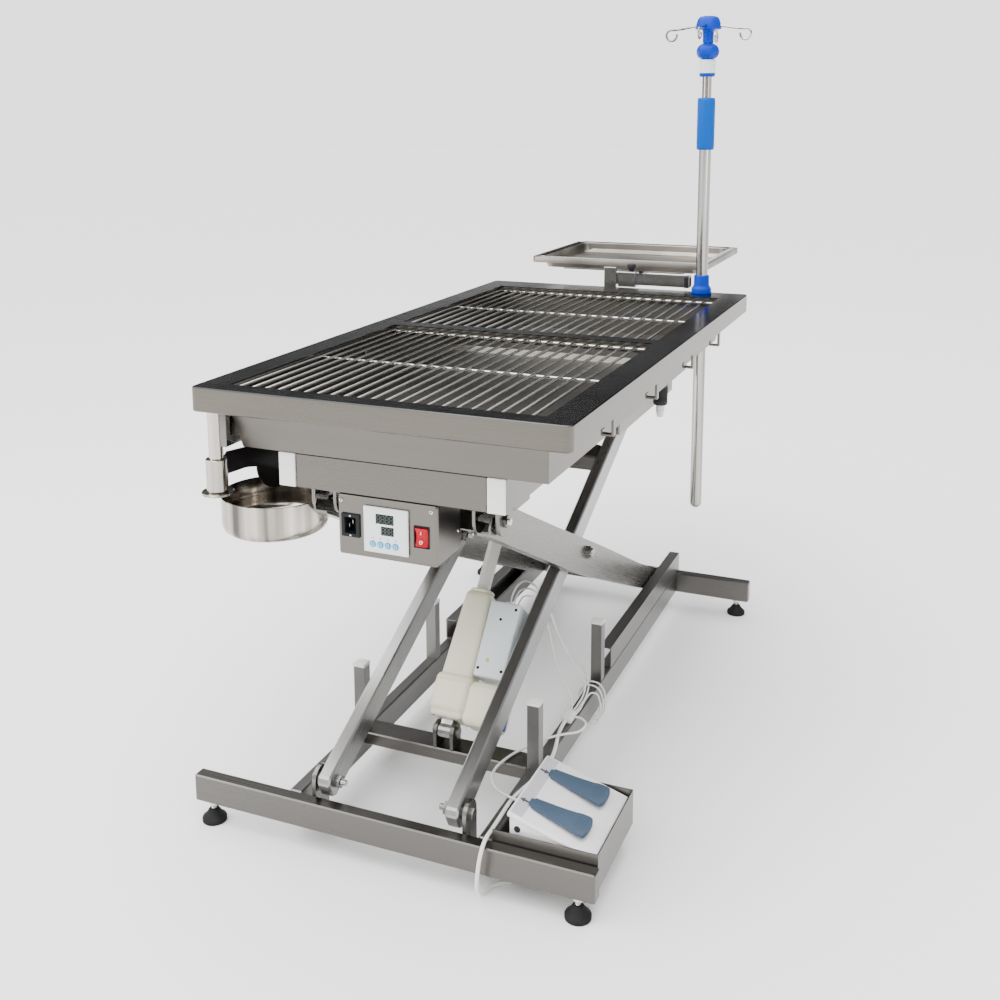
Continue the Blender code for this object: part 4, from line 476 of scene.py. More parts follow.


# Painted highlight: pale slabs on the stop post tops stand in for the bright highlight that the tops show.
post_top_painted_highlight = moulded("post_top_highlight_paint", (0.83, 0.83, 0.81), roughness=0.5)
for side, s, places in (("left", -1, (0.250, 0.530)), ("right", 1, (0.237, 0.565))):
    for number, y in enumerate(places):
        keep(f"stop_post_cap_{side}_{number}",
             slab((s * 0.161 - 0.0110, y - 0.0110, 0.1897), (s * 0.161 + 0.0110, y + 0.0110, 0.1953), 0.0012),
             post_top_painted_highlight, "base")
keep("cable_clamp_saddle", slab((0.1511, 0.3846, 0.0792), (0.1709, 0.4154, 0.0924), 0.0042, 4),
     moulded("clamp_plastic", (0.78, 0.78, 0.76)), "base")

# Levelling feet: a soft black pad with a ribbed rim, a plated stem and a lock nut, screwed
# up into a plug in the end of each cross tube.
pad_rubber, start = start_finish("pad_rubber")
dust = noise(start, (1, 1, 1), 60.0, 4.0)
end_finish(start, {
    "Base Color": between(start, dust, (0.004, 0.004, 0.005), (0.022, 0.022, 0.023)),
    "Roughness": dust * 0.25 + 0.55,
    "IOR": 1.25,
    "Normal": bumped(start, noise(start, (1, 1, 1), 1400.0, 1.0), 0.2, 0.0004),
})
plated = brushed("plated_steel", 0.68, "Z", 0.22, 0.04, 0.01)
pad_profile = [
    (0.0, 0.0), (0.0186, 0.0), (0.0194, 0.0008), (0.0195, 0.0022), (0.0190, 0.0028), (0.0190, 0.0034),
    (0.0195, 0.0040), (0.0195, 0.0062), (0.0186, 0.0080), (0.0150, 0.0108), (0.0118, 0.0146), (0.0098, 0.0182),
    (0.0080, 0.0208), (0.0056, 0.0224), (0.0, 0.0224),
]
for end, y in (("near", 0.02095), ("far", 1.12955)):
    for side, x in (("left", -0.308), ("right", 0.308)):
        pad = keep(f"foot_pad_{end}_{side}", lathe(pad_profile, at(x, y, 0.0), 48), pad_rubber, f"foot_{end}_{side}",
                   (f"levelling_foot_{end}_{side}",))
        stem = lathe([(0.0, 0.0222), (0.0046, 0.0222)] + [
            (0.0046 + 0.0004 * (step % 2), 0.0224 + 0.00035 * step) for step in range(17)
        ] + [(0.0046, 0.0285), (0.0, 0.0285)], at(x, y, 0.0), 24)
        keep(f"foot_stem_{end}_{side}", stem, plated, f"foot_{end}_{side}")
        nut = bmesh.new()
        bmesh.ops.create_cone(nut, cap_ends=True, segments=6, radius1=0.0084, radius2=0.0084, depth=0.0052,
                              matrix=Matrix.Translation(at(x, y, 0.0309)))
        keep(f"foot_nut_{end}_{side}", soften(nut, 0.0006, 2), plated, f"foot_{end}_{side}")

# Scissor arms: A of rectangular tube, B of folded plate, with plated pins, and nylon
# rollers that run in the channels of the base and the top frame.
lean = math.radians(25.5)
arm_a_steel = brushed("arm_a_steel", 0.36, "Y", 0.30, 0.10, 0.01, -lean)
arm_b_steel = brushed("arm_b_steel", 0.20, "Y", 0.27, 0.10, 0.07, lean)
dress(arm_a_steel, "arm_a_left", "arm_a_right")
dress(arm_b_steel, "arm_b_left", "arm_b_right")
dress(cross_tube_steel, "arm_a_cross", "arm_b_cross")
nylon = moulded("nylon_tyre", (0.76, 0.76, 0.70), roughness=0.42, depth=0.05)
for name, body, y, z, x0, x1 in (
    ("upper_roller_left", "upper_roller_l", 0.957176, 0.532319, -0.1500, -0.1285),
    ("upper_roller_right", "upper_roller_r", 0.957176, 0.532319, 0.1285, 0.1500),
    ("lower_roller_left", "lower_roller_l", 1.029202, 0.100, -0.1690, -0.1525),
    ("lower_roller_right", "lower_roller_r", 1.029202, 0.100, 0.1525, 0.1690),
):
    deep = x1 - x0
    tyre = lathe([(0.0063, 0.0), (0.0130, 0.0), (0.0135, 0.0010), (0.0160, 0.0010), (0.0173, 0.0022),
                  (0.0173, deep - 0.0022), (0.0160, deep - 0.0010), (0.0135, deep - 0.0010), (0.0130, deep),
                  (0.0063, deep)], (0, 0, 0), 48, True)
    keep(name + "_tyre", turn_to(tyre, at(x0, y, z), (1, 0, 0)), nylon, body, (name,))


def screw_head(name, place, facing, radius, height, finish, body, slot_width=0.0):
    """A small domed screw whose cross recess is a thin dark cross (painted shadow), or a plain dome where the slot is
    nil.
    """
    head = lathe([(0.0, 0.0), (radius, 0.0), (radius, height * 0.35), (radius * 0.86, height * 0.8),
                  (radius * 0.5, height), (0.0, height)], (0, 0, 0), 24)
    keep(name, turn_to(head, place, facing), finish, body)
    if slot_width:
        # The recess is a thin near-black cross laid on the dome, a painted shadow in place of a cut.
        cross = bmesh.new()
        for size in ((radius * 1.2, slot_width, 0.0004), (slot_width, radius * 1.2, 0.0004)):
            bmesh.ops.create_cube(cross, size=1.0, matrix=Matrix.Translation((0, 0, height)) @ Matrix.Diagonal((*size, 1.0)))
        keep(name + "_recess", turn_to(cross, place, facing), pad_rubber, body)


def thread_end(name, x0, x1, y, z, body):
    """The threaded end of a pin that stands out of its nut, along X."""
    length = abs(x1 - x0)
    count = int(length / 0.0006)
    ridges = [(0.0044 + 0.0006 * (step % 2), length * step / count) for step in range(count + 1)]
    stud = lathe([(0.0, 0.0)] + ridges + [(0.0036, length + 0.0005), (0.0, length + 0.0005)], (0, 0, 0), 24)
    keep(name, turn_to(stud, at(x0, y, z), (x1 - x0, 0, 0)), plated, body)


for side, s in (("left", -1), ("right", 1)):
    thread_end(f"arm_pin_thread_{side}", s * 0.0886, s * 0.0800, 0.0508, 0.100, "base")
    thread_end(f"crossing_thread_{side}", s * 0.0876, s * 0.0800, 0.540001, 0.333337, "outer_arms")
    screw_head(f"crossing_dome_{side}", at(s * 0.1540, 0.540001, 0.333337), (s, 0, 0), 0.0092, 0.0056, fine_steel, "outer_arms")

# Electric actuator: a cream moulded gear case and tube housing with a side motor, and a
# smooth painted push tube. Its foot turns on the flat beam and its head on the top frame.
ram_frame = Matrix.Translation(at(0.0, 0.247, 0.104)) @ Matrix((
    (0.0, 1.0, 0.0, 0.0), (-0.76849, 0.0, 0.63987, 0.0), (0.63987, 0.0, 0.76849, 0.0), (0.0, 0.0, 0.0, 1.0)
))


def on_ram(shape):
    """From the actuator's own lines (across, sideways, along the tube) to its place."""
    bmesh.ops.transform(shape, matrix=ram_frame, verts=shape.verts)
    return shape


def ram_block(across, sideways, along, width, taper=1.0, segments=4):
    shape = bmesh.new()
    low, high = (Vector(corner) for corner in zip(across, sideways, along))
    place = Matrix.Translation((low + high) / 2) @ Matrix.Diagonal((*(high - low), 1.0))
    bmesh.ops.create_cube(shape, size=1.0, matrix=place)
    for vertex in shape.verts:
        if vertex.co.z > (low.z + high.z) / 2:
            vertex.co.x *= taper
            vertex.co.y *= taper
    return soften(shape, width, segments) if width else shape


def groove(shape, along, place, width, depth):
    """Press a narrow groove round the shape, square to one of its own axes."""
    normal = Vector([1.0 if axis == along else 0.0 for axis in range(3)])
    for offset in (-width / 2, 0.0, width / 2):
        bmesh.ops.bisect_plane(shape, geom=[*shape.verts, *shape.edges, *shape.faces], dist=1e-7,
                               plane_co=normal * (place + offset), plane_no=normal)
    shape.normal_update()
    for vertex in shape.verts:
        if abs(vertex.co[along] - place) < 1e-6:
            outward = vertex.normal.copy()
            outward[along] = 0.0
            vertex.co -= outward.normalized() * depth
    return shape


housing_plastic = moulded("housing_plastic", (0.78, 0.76, 0.58), roughness=0.42, grain=700.0, depth=0.10, dust=0.05, coat=0.15)


def bored(piece, low, high, radius):
    """Bore the piece along the actuator's tube, so that the push tube can run inside it."""
    bit = bmesh.new()
    bmesh.ops.create_cone(bit, cap_ends=True, segments=48, radius1=radius, radius2=radius, depth=high - low,
                          matrix=Matrix.Translation((0, 0, (low + high) / 2)))
    bit_mesh = bpy.data.meshes.new("bit")
    on_ram(bit).to_mesh(bit_mesh)
    bit.free()
    drill = bpy.data.objects.new("bit", bit_mesh)
    bpy.context.scene.collection.objects.link(drill)
    boring = piece.modifiers.new("bore", "BOOLEAN")
    boring.operation = "DIFFERENCE"
    boring.solver = "EXACT"
    boring.object = drill
    bpy.context.view_layer.update()
    mesh = bpy.data.meshes.new_from_object(piece.evaluated_get(bpy.context.evaluated_depsgraph_get()))
    piece.modifiers.clear()
    piece.data = mesh
    bpy.data.objects.remove(drill)


tube_shell = groove(ram_block((-0.0235, 0.0235), (-0.029, 0.029), (0.070, 0.237), 0.009, 0.82), 2, 0.228, 0.0014, 0.0008)
tube_shell = keep("actuator_tube_shell", on_ram(tube_shell), housing_plastic, "actuator", ("actuator_housing",))
bored(tube_shell, 0.050, 0.250, 0.0127)
gear_case = groove(ram_block((-0.0345, 0.0345), (-0.0325, 0.0345), (0.024, 0.089), 0.012, 1.0, 5), 2, 0.076, 0.0016, 0.0012)
gear_case = keep("actuator_gear_case", on_ram(gear_case), housing_plastic, "actuator")
bored(gear_case, 0.042, 0.100, 0.0127)
gear_lid = ram_block((-0.0300, 0.0300), (-0.0280, 0.0300), (0.017, 0.030), 0.006)
keep("actuator_gear_lid", on_ram(gear_lid), housing_plastic, "actuator")
motor_case = groove(ram_block((-0.036, 0.030), (0.026, 0.0945), (0.012, 0.084), 0.014, 1.0, 6), 2, 0.074, 0.0016, 0.0012)
keep("actuator_motor_case", on_ram(motor_case), housing_plastic, "actuator")
seal_ring = lathe([(0.0123, 0.0), (0.0205, 0.0), (0.0215, 0.0012), (0.0215, 0.0038), (0.0205, 0.0050), (0.0160, 0.0050),
                   (0.0150, 0.0042), (0.0123, 0.0042)], (0, 0, 0.236), 48, True)
keep("actuator_seal_ring", on_ram(seal_ring), housing_plastic, "actuator")
wiper = lathe([(0.0121, 0.0), (0.0150, 0.0), (0.0146, 0.0024), (0.0121, 0.0030)], (0, 0, 0.2402), 40, True)
keep("actuator_rod_wiper", on_ram(wiper), pad_rubber, "actuator")

foot_fork = ram_block((-0.011, 0.011), (-0.0117, 0.0117), (0.000, 0.034), 0.003)
keep("actuator_foot_neck", on_ram(foot_fork), fine_steel, "actuator")
foot_eye = lathe([(0.0062, -0.0118), (0.0128, -0.0118), (0.0138, -0.0108), (0.0138, 0.0108), (0.0128, 0.0118), (0.0062, 0.0118)],
                 (0, 0, 0), 40, True)
keep("actuator_foot_eye", turn_to(foot_eye, at(0, 0.247, 0.104), (1, 0, 0)), fine_steel, "actuator")
for number, (across, sideways) in enumerate(((0.024, 0.024), (-0.024, 0.024), (0.024, -0.022), (-0.024, -0.022))):
    place = ram_frame @ Vector((across, sideways, 0.0174))
    screw_head(f"gear_lid_screw_{number}", place, ram_frame.to_3x3() @ Vector((0, 0, -1)), 0.0030, 0.0012, plated, "actuator", 0.0006)

push_tube, start = start_finish("push_tube_paint")
rubbed = noise(start, (8, 8, 60), 1.0, 3.0)
end_finish(start, {
    "Base Color": between(start, rubbed, (0.66, 0.66, 0.60), (0.80, 0.80, 0.75)),
    "Roughness": rubbed * 0.16 + 0.22,
    "Coat Weight": 0.3,
    "Normal": bumped(start, noise(start, (1, 1, 1), 260.0, 2.0), 0.03, 0.0003),
})
rod_shape = lathe([(0.0, 0.160), (0.0120, 0.160), (0.0120, 0.588), (0.0112, 0.590), (0.0112, 0.5925), (0.0135, 0.594),
                   (0.0135, 0.603), (0.0, 0.603)], (0, 0, 0), 56)
keep("actuator_push_tube", on_ram(rod_shape), push_tube, "rod", ("actuator_rod",))
head_eye = lathe([(0.0062, -0.0146), (0.0132, -0.0146), (0.0143, -0.0135), (0.0143, 0.0135), (0.0132, 0.0146), (0.0062, 0.0146)],
                 (0, 0, 0), 40, True)
keep("actuator_head_eye", turn_to(head_eye, at(0, 0.640, 0.576), (1, 0, 0)), fine_steel, "rod")

# Control unit of the actuator: a flat pale blue-grey moulded box on the side of the motor
# housing, with a lid held by two dark screws, a status lamp, and sockets in its top end.
unit_plastic = moulded("unit_plastic", (0.68, 0.74, 0.77), roughness=0.40, grain=800.0, depth=0.10, dust=0.04, coat=0.10)
unit_shape = groove(ram_block((-0.046, 0.028), (0.0305, 0.086), (0.092, 0.222), 0.004), 0, 0.016, 0.0012, 0.0007)
keep("unit_case", on_ram(unit_shape), unit_plastic, "actuator", ("control_unit",))
for number, (sideways, along) in enumerate(((0.0560, 0.191), (0.0370, 0.105), (0.0790, 0.105), (0.0790, 0.211))):
    screw_head(f"unit_screw_{number}", ram_frame @ Vector((0.0279, sideways, along)), ram_frame.to_3x3() @ Vector((1, 0, 0)),
               0.0026, 0.0007, pad_rubber, "actuator")
lamp_green, start = start_finish("status_lamp")
glow = noise(start, (1, 1, 1), 900.0, 2.0)
end_finish(start, {"Base Color": between(start, glow, (0.30, 0.42, 0.06), (0.50, 0.62, 0.20)), "Roughness": glow * 0.1 + 0.12,
                   "Coat Weight": 0.6})
lamp_shape = lathe([(0.0, 0.0), (0.0033, 0.0), (0.0030, 0.0008), (0.0018, 0.0014), (0.0, 0.0016)], (0, 0, 0), 24)
keep("unit_status_lamp", turn_to(lamp_shape, ram_frame @ Vector((0.0278, 0.0505, 0.120)), ram_frame.to_3x3() @ Vector((1, 0, 0))),
     lamp_green, "actuator")
socket_dark = moulded("socket_shadow", (0.020, 0.021, 0.023), roughness=0.6, ior=1.25)
for number, (across, sideways, wide) in enumerate(((0.010, 0.0600, 0.020), (-0.012, 0.0585, 0.036), (-0.034, 0.0585, 0.036))):
    mouth = ram_block((across - 0.0045, across + 0.0045), (sideways - wide / 2, sideways + wide / 2), (0.2190, 0.2224), 0.0008)
    keep(f"unit_socket_{number}", on_ram(mouth), socket_dark, "actuator")
    shell = ram_block((across - 0.0036, across + 0.0036), (sideways - wide / 2 + 0.002, sideways + wide / 2 - 0.006),
                      (0.2200, 0.2268), 0.0015)
    keep(f"unit_connector_{number}", on_ram(shell), sheath, "actuator")
connector_blue = moulded("connector_blue", (0.03, 0.07, 0.36), roughness=0.38, ior=1.25)
motor_plug = ram_block((-0.0140, 0.0080), (0.0915, 0.0960), (0.018, 0.060), 0.0018)
keep("motor_connector", on_ram(motor_plug), connector_blue, "actuator")
motor_plug_rib = ram_block((-0.0100, 0.0040), (0.0945, 0.0967), (0.024, 0.054), 0.0008)
keep("motor_connector_rib", on_ram(motor_plug_rib), connector_blue, "actuator")


# Short leads of the actuator: two thin white leads leave the sockets of the unit, hang in
# loops past the arm and are tied to the right rail.
def lead_tube(name, line, radius, finish):
    """A round lead drawn as a curve and turned into a mesh."""
    drawn = round_line(name + "_line", line, radius, finish, 3)
    bpy.context.view_layer.update()
    mesh = bpy.data.meshes.new_from_object(drawn.evaluated_get(bpy.context.evaluated_depsgraph_get()))
    bpy.data.objects.remove(drawn)
    mesh.shade_smooth()
    mesh.set_sharp_from_angle(angle=math.radians(40))
    piece = bpy.data.objects.new(name, mesh)
    bpy.context.scene.collection.objects.link(piece)
    return piece


for name, thick, knots in (
    ("motor_lead", 0.0032, [
        (0.0600, 0.3850, 0.2850), (0.0600, 0.3935, 0.2955), (0.0620, 0.4120, 0.3060), (0.0670, 0.4400, 0.3040),
        (0.0740, 0.4700, 0.2830), (0.0820, 0.4970, 0.2500), (0.0870, 0.5170, 0.2120), (0.0920, 0.5330, 0.1750),
        (0.1030, 0.5400, 0.1430), (0.1220, 0.5380, 0.1180), (0.1430, 0.5230, 0.1030), (0.1570, 0.5050, 0.0940),
        (0.1610, 0.4800, 0.0850), (0.1610, 0.4500, 0.0820), (0.1610, 0.4300, 0.0825), (0.1610, 0.4150, 0.0850),
    ]),
    ("sensor_lead", 0.0030, [
        (0.0585, 0.4020, 0.2710), (0.0585, 0.4110, 0.2820), (0.0620, 0.4280, 0.2910), (0.0700, 0.4520, 0.2850),
        (0.0790, 0.4800, 0.2620), (0.0860, 0.5050, 0.2280), (0.0900, 0.5240, 0.1900), (0.0940, 0.5450, 0.1550),
        (0.1040, 0.5600, 0.1250), (0.1250, 0.5620, 0.1030), (0.1450, 0.5450, 0.0930), (0.1590, 0.5180, 0.0860),
        (0.1645, 0.4850, 0.0815), (0.1655, 0.4550, 0.0810), (0.1655, 0.4300, 0.0815), (0.1650, 0.4150, 0.0840),
    ]),
    ("switch_lead", 0.0028, [
        (0.0585, 0.4190, 0.2570), (0.0585, 0.4280, 0.2680), (0.0630, 0.4430, 0.2740), (0.0720, 0.4630, 0.2640),
        (0.0810, 0.4840, 0.2350), (0.0880, 0.4980, 0.1950), (0.0960, 0.4970, 0.1600), (0.1120, 0.4800, 0.1300),
        (0.1350, 0.4620, 0.1080), (0.1510, 0.4480, 0.0930), (0.1565, 0.4320, 0.0840), (0.1570, 0.4150, 0.0845),
    ]),
):
    line = smooth_line([at(*knot) for knot in knots], 0.005)
    lead = lead_tube(name, line, thick / 2, sheath)
    at(*knots[2])
    at(*knots[-5])
    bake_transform(lead)
    round(line_length(line), 3)

winding = [(0.1690, 0.4150, 0.0830), (0.1690, 0.4400, 0.0810), (0.1675, 0.4700, 0.0822), (0.1690, 0.4930, 0.0838), (0.1725, 0.5030, 0.0820)]
for step in range(3, 67):
    angle = math.radians(90 - 15 * step)
    wide, tall = math.cos(angle), math.sin(angle)
    winding.append((0.161 + 0.023 * math.copysign(abs(wide) ** 0.8, wide), 0.508 + 0.00062 * step,
                    0.0495 + 0.036 * math.copysign(abs(tall) ** 0.8, tall)))
winding += [(0.1385, 0.5495, 0.0640), (0.1420, 0.5480, 0.0770), (0.1475, 0.5400, 0.0850), (0.1520, 0.5250, 0.0860), (0.1530, 0.4950, 0.0830),
            (0.1530, 0.4600, 0.0812), (0.1530, 0.4300, 0.0815), (0.1535, 0.4150, 0.0830)]
winding_line = smooth_line([at(*knot) for knot in winding], 0.0045)
spare_lead = round_line("spare_lead_winding", winding_line, 0.0015, sheath, 4)
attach(spare_lead, "base")
round(line_length(winding_line), 3)

# Top frame: two box rails with open roller channels, hinge lugs, a front plate and a folded
# cross channel that the actuator pushes on. Satin stainless; pale plugs in the rail ends paint their bright highlight.
frame_rail_steel = brushed("frame_rail_steel", 0.19, "Y", 0.28, warmth=0.08)
# Painted dark reflection: the front plate's stainless gets a darker tone than the rails, for the dark reflection on its
# front face.
front_plate_steel = brushed("front_plate_steel", 0.15, "X", 0.28, 0.14, 0.11)
dress(frame_rail_steel, "upper_rail_left", "upper_rail_right")
dress(front_plate_steel, "upper_front_plate")
dress(cross_tube_steel, "upper_cross_channel")
# Painted highlight: the pale plugs stand in for the bright highlight on the rail ends.
rail_end_highlight_finish = moulded("rail_end_painted_highlight", (0.88, 0.88, 0.87), roughness=0.35, coat=0.2)
for side, s in (("left", -1), ("right", 1)):
    keep(f"rail_end_highlight_plug_{side}", slab((s * 0.1705 - 0.0140, 0.0553, 0.5665), (s * 0.1705 + 0.0140, 0.0590, 0.6185), 0.0012),
         rail_end_highlight_finish, "top_frame")
    for number, y in enumerate((0.0990, 0.1460)):
        screw_head(f"saddle_screw_{side}_{number}", at(s * 0.1320, y, 0.5612), (0, 0, -1), 0.0042, 0.0022, plated, "top_frame", 0.0009)
    thread_end(f"hinge_thread_{side}", s * 0.1614, s * 0.1660, 0.122826, 0.532319, "top_frame")

# Control box under the front plate: folded steel with a lamp and temperature panel behind a
# white bezel, a mains inlet and a lit rocker switch. Screwed up from below.
# Painted dark reflection: the box's stainless gets a darker tone than the rails, for the dark reflection on its faces.
box_steel = brushed("control_box_steel", 0.17, "X", 0.30, 0.14, 0.11)
dress(box_steel, "control_box")
for name, place, facing in (
    ("box_screw_front", at(0.0690, 0.0571, 0.5560), (0, -1, 0)), ("box_screw_front_left", at(-0.0790, 0.0571, 0.5560), (0, -1, 0)),
    ("box_screw_side", at(0.0784, 0.1290, 0.5060), (1, 0, 0)), ("box_screw_side_left", at(-0.0849, 0.1290, 0.5060), (-1, 0, 0)),
):
    screw_head(name, place, facing, 0.0034, 0.0016, plated, "top_frame", 0.0008)
bezel_plastic = moulded("bezel_plastic", (0.80, 0.83, 0.84), roughness=0.38, depth=0.06, dust=0.03, coat=0.25)
bezel = slab((-0.040, 0.0525, 0.4835), (0.033, 0.0567, 0.5535), 0.0016, 4)
keep("panel_bezel", bezel, bezel_plastic, "top_frame", ("control_panel",))
panel_face = slab((-0.0365, 0.0519, 0.4870), (0.0295, 0.0540, 0.5500), 0.0005, 2)
face_film, start = start_finish("panel_film")
speckle = noise(start, (1, 1, 1), 240.0, 2.0)
end_finish(start, {"Base Color": between(start, speckle, (0.76, 0.80, 0.82), (0.84, 0.87, 0.88)), "Roughness": speckle * 0.1 + 0.28,
                   "Normal": bumped(start, noise(start, (1, 1, 1), 1600.0, 1.0), 0.08, 0.0003)})
keep("panel_face_film", panel_face, face_film, "top_frame")
window_dark, start = start_finish("display_window")
haze = noise(start, (1, 1, 1), 90.0, 3.0)
end_finish(start, {"Base Color": between(start, haze, (0.006, 0.010, 0.009), (0.016, 0.024, 0.022)), "Roughness": haze * 0.12 + 0.10,
                   "IOR": 1.2})
for name, x0, x1, z0, z1 in (("upper", -0.0190, 0.0105, 0.5290, 0.5440), ("lower", -0.0105, 0.0105, 0.5120, 0.5255)):
    keep(f"display_window_{name}", slab((x0, 0.0515, z0), (x1, 0.0530, z1), 0.0004, 2), window_dark, "top_frame")
segment_glow, start = start_finish("unlit_segments")
tint = noise(start, (1, 1, 1), 500.0, 1.0)
end_finish(start, {"Base Color": between(start, tint, (0.045, 0.060, 0.055), (0.080, 0.100, 0.090)), "Roughness": tint * 0.1 + 0.25})
for row, left, low, tall, wide, count in (("upper", -0.0165, 0.5312, 0.0106, 0.0058, 4), ("lower", -0.0088, 0.5140, 0.0094, 0.0052, 3)):
    for number in range(count):
        x = left + number * wide * 1.17
        digit = bmesh.new()
        half, mid, bar = wide * 0.42, low + tall / 2, 0.00085
        for cx, cz, w, h in ((x + half, low, half * 1.5, bar), (x + half, mid, half * 1.5, bar), (x + half, low + tall, half * 1.5, bar),
                             (x, low + tall * 0.25, bar, tall * 0.36), (x + 2 * half, low + tall * 0.25, bar, tall * 0.36),
                             (x, low + tall * 0.75, bar, tall * 0.36), (x + 2 * half, low + tall * 0.75, bar, tall * 0.36)):
            bmesh.ops.create_cube(digit, size=1.0, matrix=Matrix.Translation(at(cx, 0.0514, cz)) @ Matrix.Diagonal((w, 0.0003, h, 1.0)))
        keep(f"display_digit_{row}_{number}", digit, segment_glow, "top_frame")
key_blue = moulded("key_blue", (0.01, 0.32, 0.62), roughness=0.34, depth=0.05, ior=1.3)
key_print = moulded("key_print", (0.72, 0.84, 0.88), roughness=0.4)
for number, x in enumerate((-0.0245, -0.0118, 0.0005, 0.0130)):
    cap = lathe([(0.0, 0.0), (0.0052, 0.0), (0.0052, 0.0008), (0.0046, 0.0014), (0.0, 0.0016)], (0, 0, 0), 36)
    keep(f"panel_key_{number}", turn_to(cap, at(x, 0.0523, 0.4970), (0, -1, 0)), key_blue, "top_frame")
    ring = lathe([(0.0020, 0.0), (0.0027, 0.0), (0.0027, 0.0003), (0.0020, 0.0003)], (0, 0, 0), 24, True)
    keep(f"panel_key_ring_{number}", turn_to(ring, at(x, 0.0508, 0.4970), (0, -1, 0)), key_print, "top_frame")
    dot = lathe([(0.0, 0.0), (0.0010, 0.0), (0.0008, 0.0005), (0.0, 0.0006)], (0, 0, 0), 16)
    keep(f"panel_dot_{number}", turn_to(dot, at(x + 0.0005, 0.0520, 0.5065), (0, -1, 0)), segment_glow, "top_frame")

inlet_plastic = moulded("inlet_plastic", (0.012, 0.013, 0.014), roughness=0.38, depth=0.15, ior=1.25)
dress(inlet_plastic, "power_inlet")
for number, (x, z, w) in enumerate(((-0.0690, 0.5165, 0.0016), (-0.0570, 0.5165, 0.0016), (-0.0630, 0.5225, 0.0016))):
    blade = slab((x - w / 2, 0.0620, z - 0.0030), (x + w / 2, 0.0730, z + 0.0030), 0.0004, 2)
    keep(f"inlet_pin_{number}", blade, fine_steel, "top_frame")
for number, z in enumerate((0.5040, 0.5340)):
    screw_head(f"inlet_screw_{number}", at(-0.0630, 0.0541, z), (0, -1, 0), 0.0016, 0.0007, plated, "top_frame")

switch_black = moulded("switch_black", (0.012, 0.011, 0.011), roughness=0.34, depth=0.08, ior=1.25)
rim_shape = slab((0.0410, 0.0549, 0.4995), (0.0657, 0.0568, 0.5325), 0.0)
front = [f for f in rim_shape.faces if f.normal.y < -0.9] or [min(rim_shape.faces, key=lambda f: f.calc_center_median().y)]
bmesh.ops.inset_region(rim_shape, faces=front, thickness=0.0014)
bmesh.ops.delete(rim_shape, geom=[min(rim_shape.faces, key=lambda f: (round(f.calc_center_median().y, 5), f.calc_area() * -1))], context="FACES_ONLY")
bmesh.ops.delete(rim_shape, geom=[max(rim_shape.faces, key=lambda f: f.calc_center_median().y)], context="FACES_ONLY")
keep("switch_rim", soften(rim_shape, 0.0004, 2), switch_black, "top_frame")
rocker_red, start = start_finish("rocker_red")
shine = noise(start, (1, 1, 1), 160.0, 2.0)
end_finish(start, {"Base Color": between(start, shine, (0.34, 0.002, 0.010), (0.48, 0.006, 0.022)), "Roughness": shine * 0.1 + 0.22,
                   "IOR": 1.25, "Emission Color": (0.55, 0.01, 0.03, 1.0), "Emission Strength": 0.10})
rocker = bmesh.new()
bmesh.ops.create_grid(rocker, x_segments=8, y_segments=16, size=0.5)
for vertex in rocker.verts:
    u, v = vertex.co.x * 2, vertex.co.y * 2
    bulge = -0.0046 + 0.0042 * (1 - abs(v) ** 1.5) + 0.0010 * (v < 0) * abs(v) + 0.0014 * max(0.0, abs(u) - 0.72) / 0.28
    vertex.co = at(0.0534 + u * 0.0102, 0.057 + bulge + 0.0004, 0.5160 + v * 0.0139)
skirt = bmesh.ops.extrude_edge_only(rocker, edges=[e for e in rocker.edges if e.is_boundary])
for vertex in [item for item in skirt["geom"] if isinstance(item, bmesh.types.BMVert)]:
    vertex.co.y = at(0, 0.0630, 0).y
bmesh.ops.contextual_create(rocker, geom=[e for e in rocker.edges if e.is_boundary])
keep("rocker_cap", rocker, rocker_red, "rocker", ("rocker_switch",))
mark_white = moulded("mark_white", (0.80, 0.70, 0.70), roughness=0.4)
bar_mark = slab((0.0528, 0.0531, 0.5205), (0.0540, 0.0552, 0.5250), 0.0003, 2)
keep("rocker_on_mark", bar_mark, mark_white, "rocker")
ring_mark = lathe([(0.0018, 0.0), (0.0027, 0.0), (0.0027, 0.0024), (0.0018, 0.0024)], (0, 0, 0), 24, True)
keep("rocker_off_mark", turn_to(ring_mark, at(0.0534, 0.0553, 0.5090), (0, -1, 0)), mark_white, "rocker")

# Table top: one folded stainless sheet with a polished upper face, a satin skirt all round,
# two openings with a turned-down lip, and four small welded hooks on each side.
top_steel, start = start_finish("table_top_steel")
flat_place = start.node("ShaderNodeTexCoord", result="Object")
flat_height = start.node("ShaderNodeSeparateXYZ", {}, {0: flat_place}, "Z")
on_deck = flat_height > 0.7192
skirt_lines = noise(start, (9, 9, 420), 1.0, 2.0)
skirt_reflection_bands = noise(start, (1.6, 1.6, 26), 1.0, 2.0)
deck_lines = noise(start, (420, 9, 9), 1.0, 2.0)
clouds = noise(start, (1, 1, 1), 3.4, 3.0)
smears = noise(start, (1, 1, 1), 16.0, 4.0)
# Painted reflection: the skirt's dark tone and its wide bands stand in for the darker and lighter reflections along the
# front faces. The deck is painted near black for the dark reflection its polished face shows.
skirt_tone = between(start, skirt_lines * 0.30 + skirt_reflection_bands * 0.35 + clouds * 0.35, (0.095, 0.087, 0.075), (0.185, 0.172, 0.152))
deck_dark_reflection_tone = between(start, clouds * 0.5 + smears * 0.5, (0.045, 0.047, 0.046), (0.085, 0.088, 0.086))
end_finish(start, {
    "Base Color": start.node("ShaderNodeMix", {"data_type": "RGBA"}, {0: on_deck, 6: skirt_tone, 7: deck_dark_reflection_tone}, 2),
    "Metallic": 1.0,
    "Roughness": (1 - on_deck) * (skirt_lines * 0.10 + clouds * 0.08 + 0.20) + on_deck * (smears * 0.10 + 0.13),
    "Normal": bumped(start, skirt_lines * (1 - on_deck) + deck_lines * (on_deck * 0.2), 0.06, 0.0003),
})
dress(top_steel, "tabletop_rim")


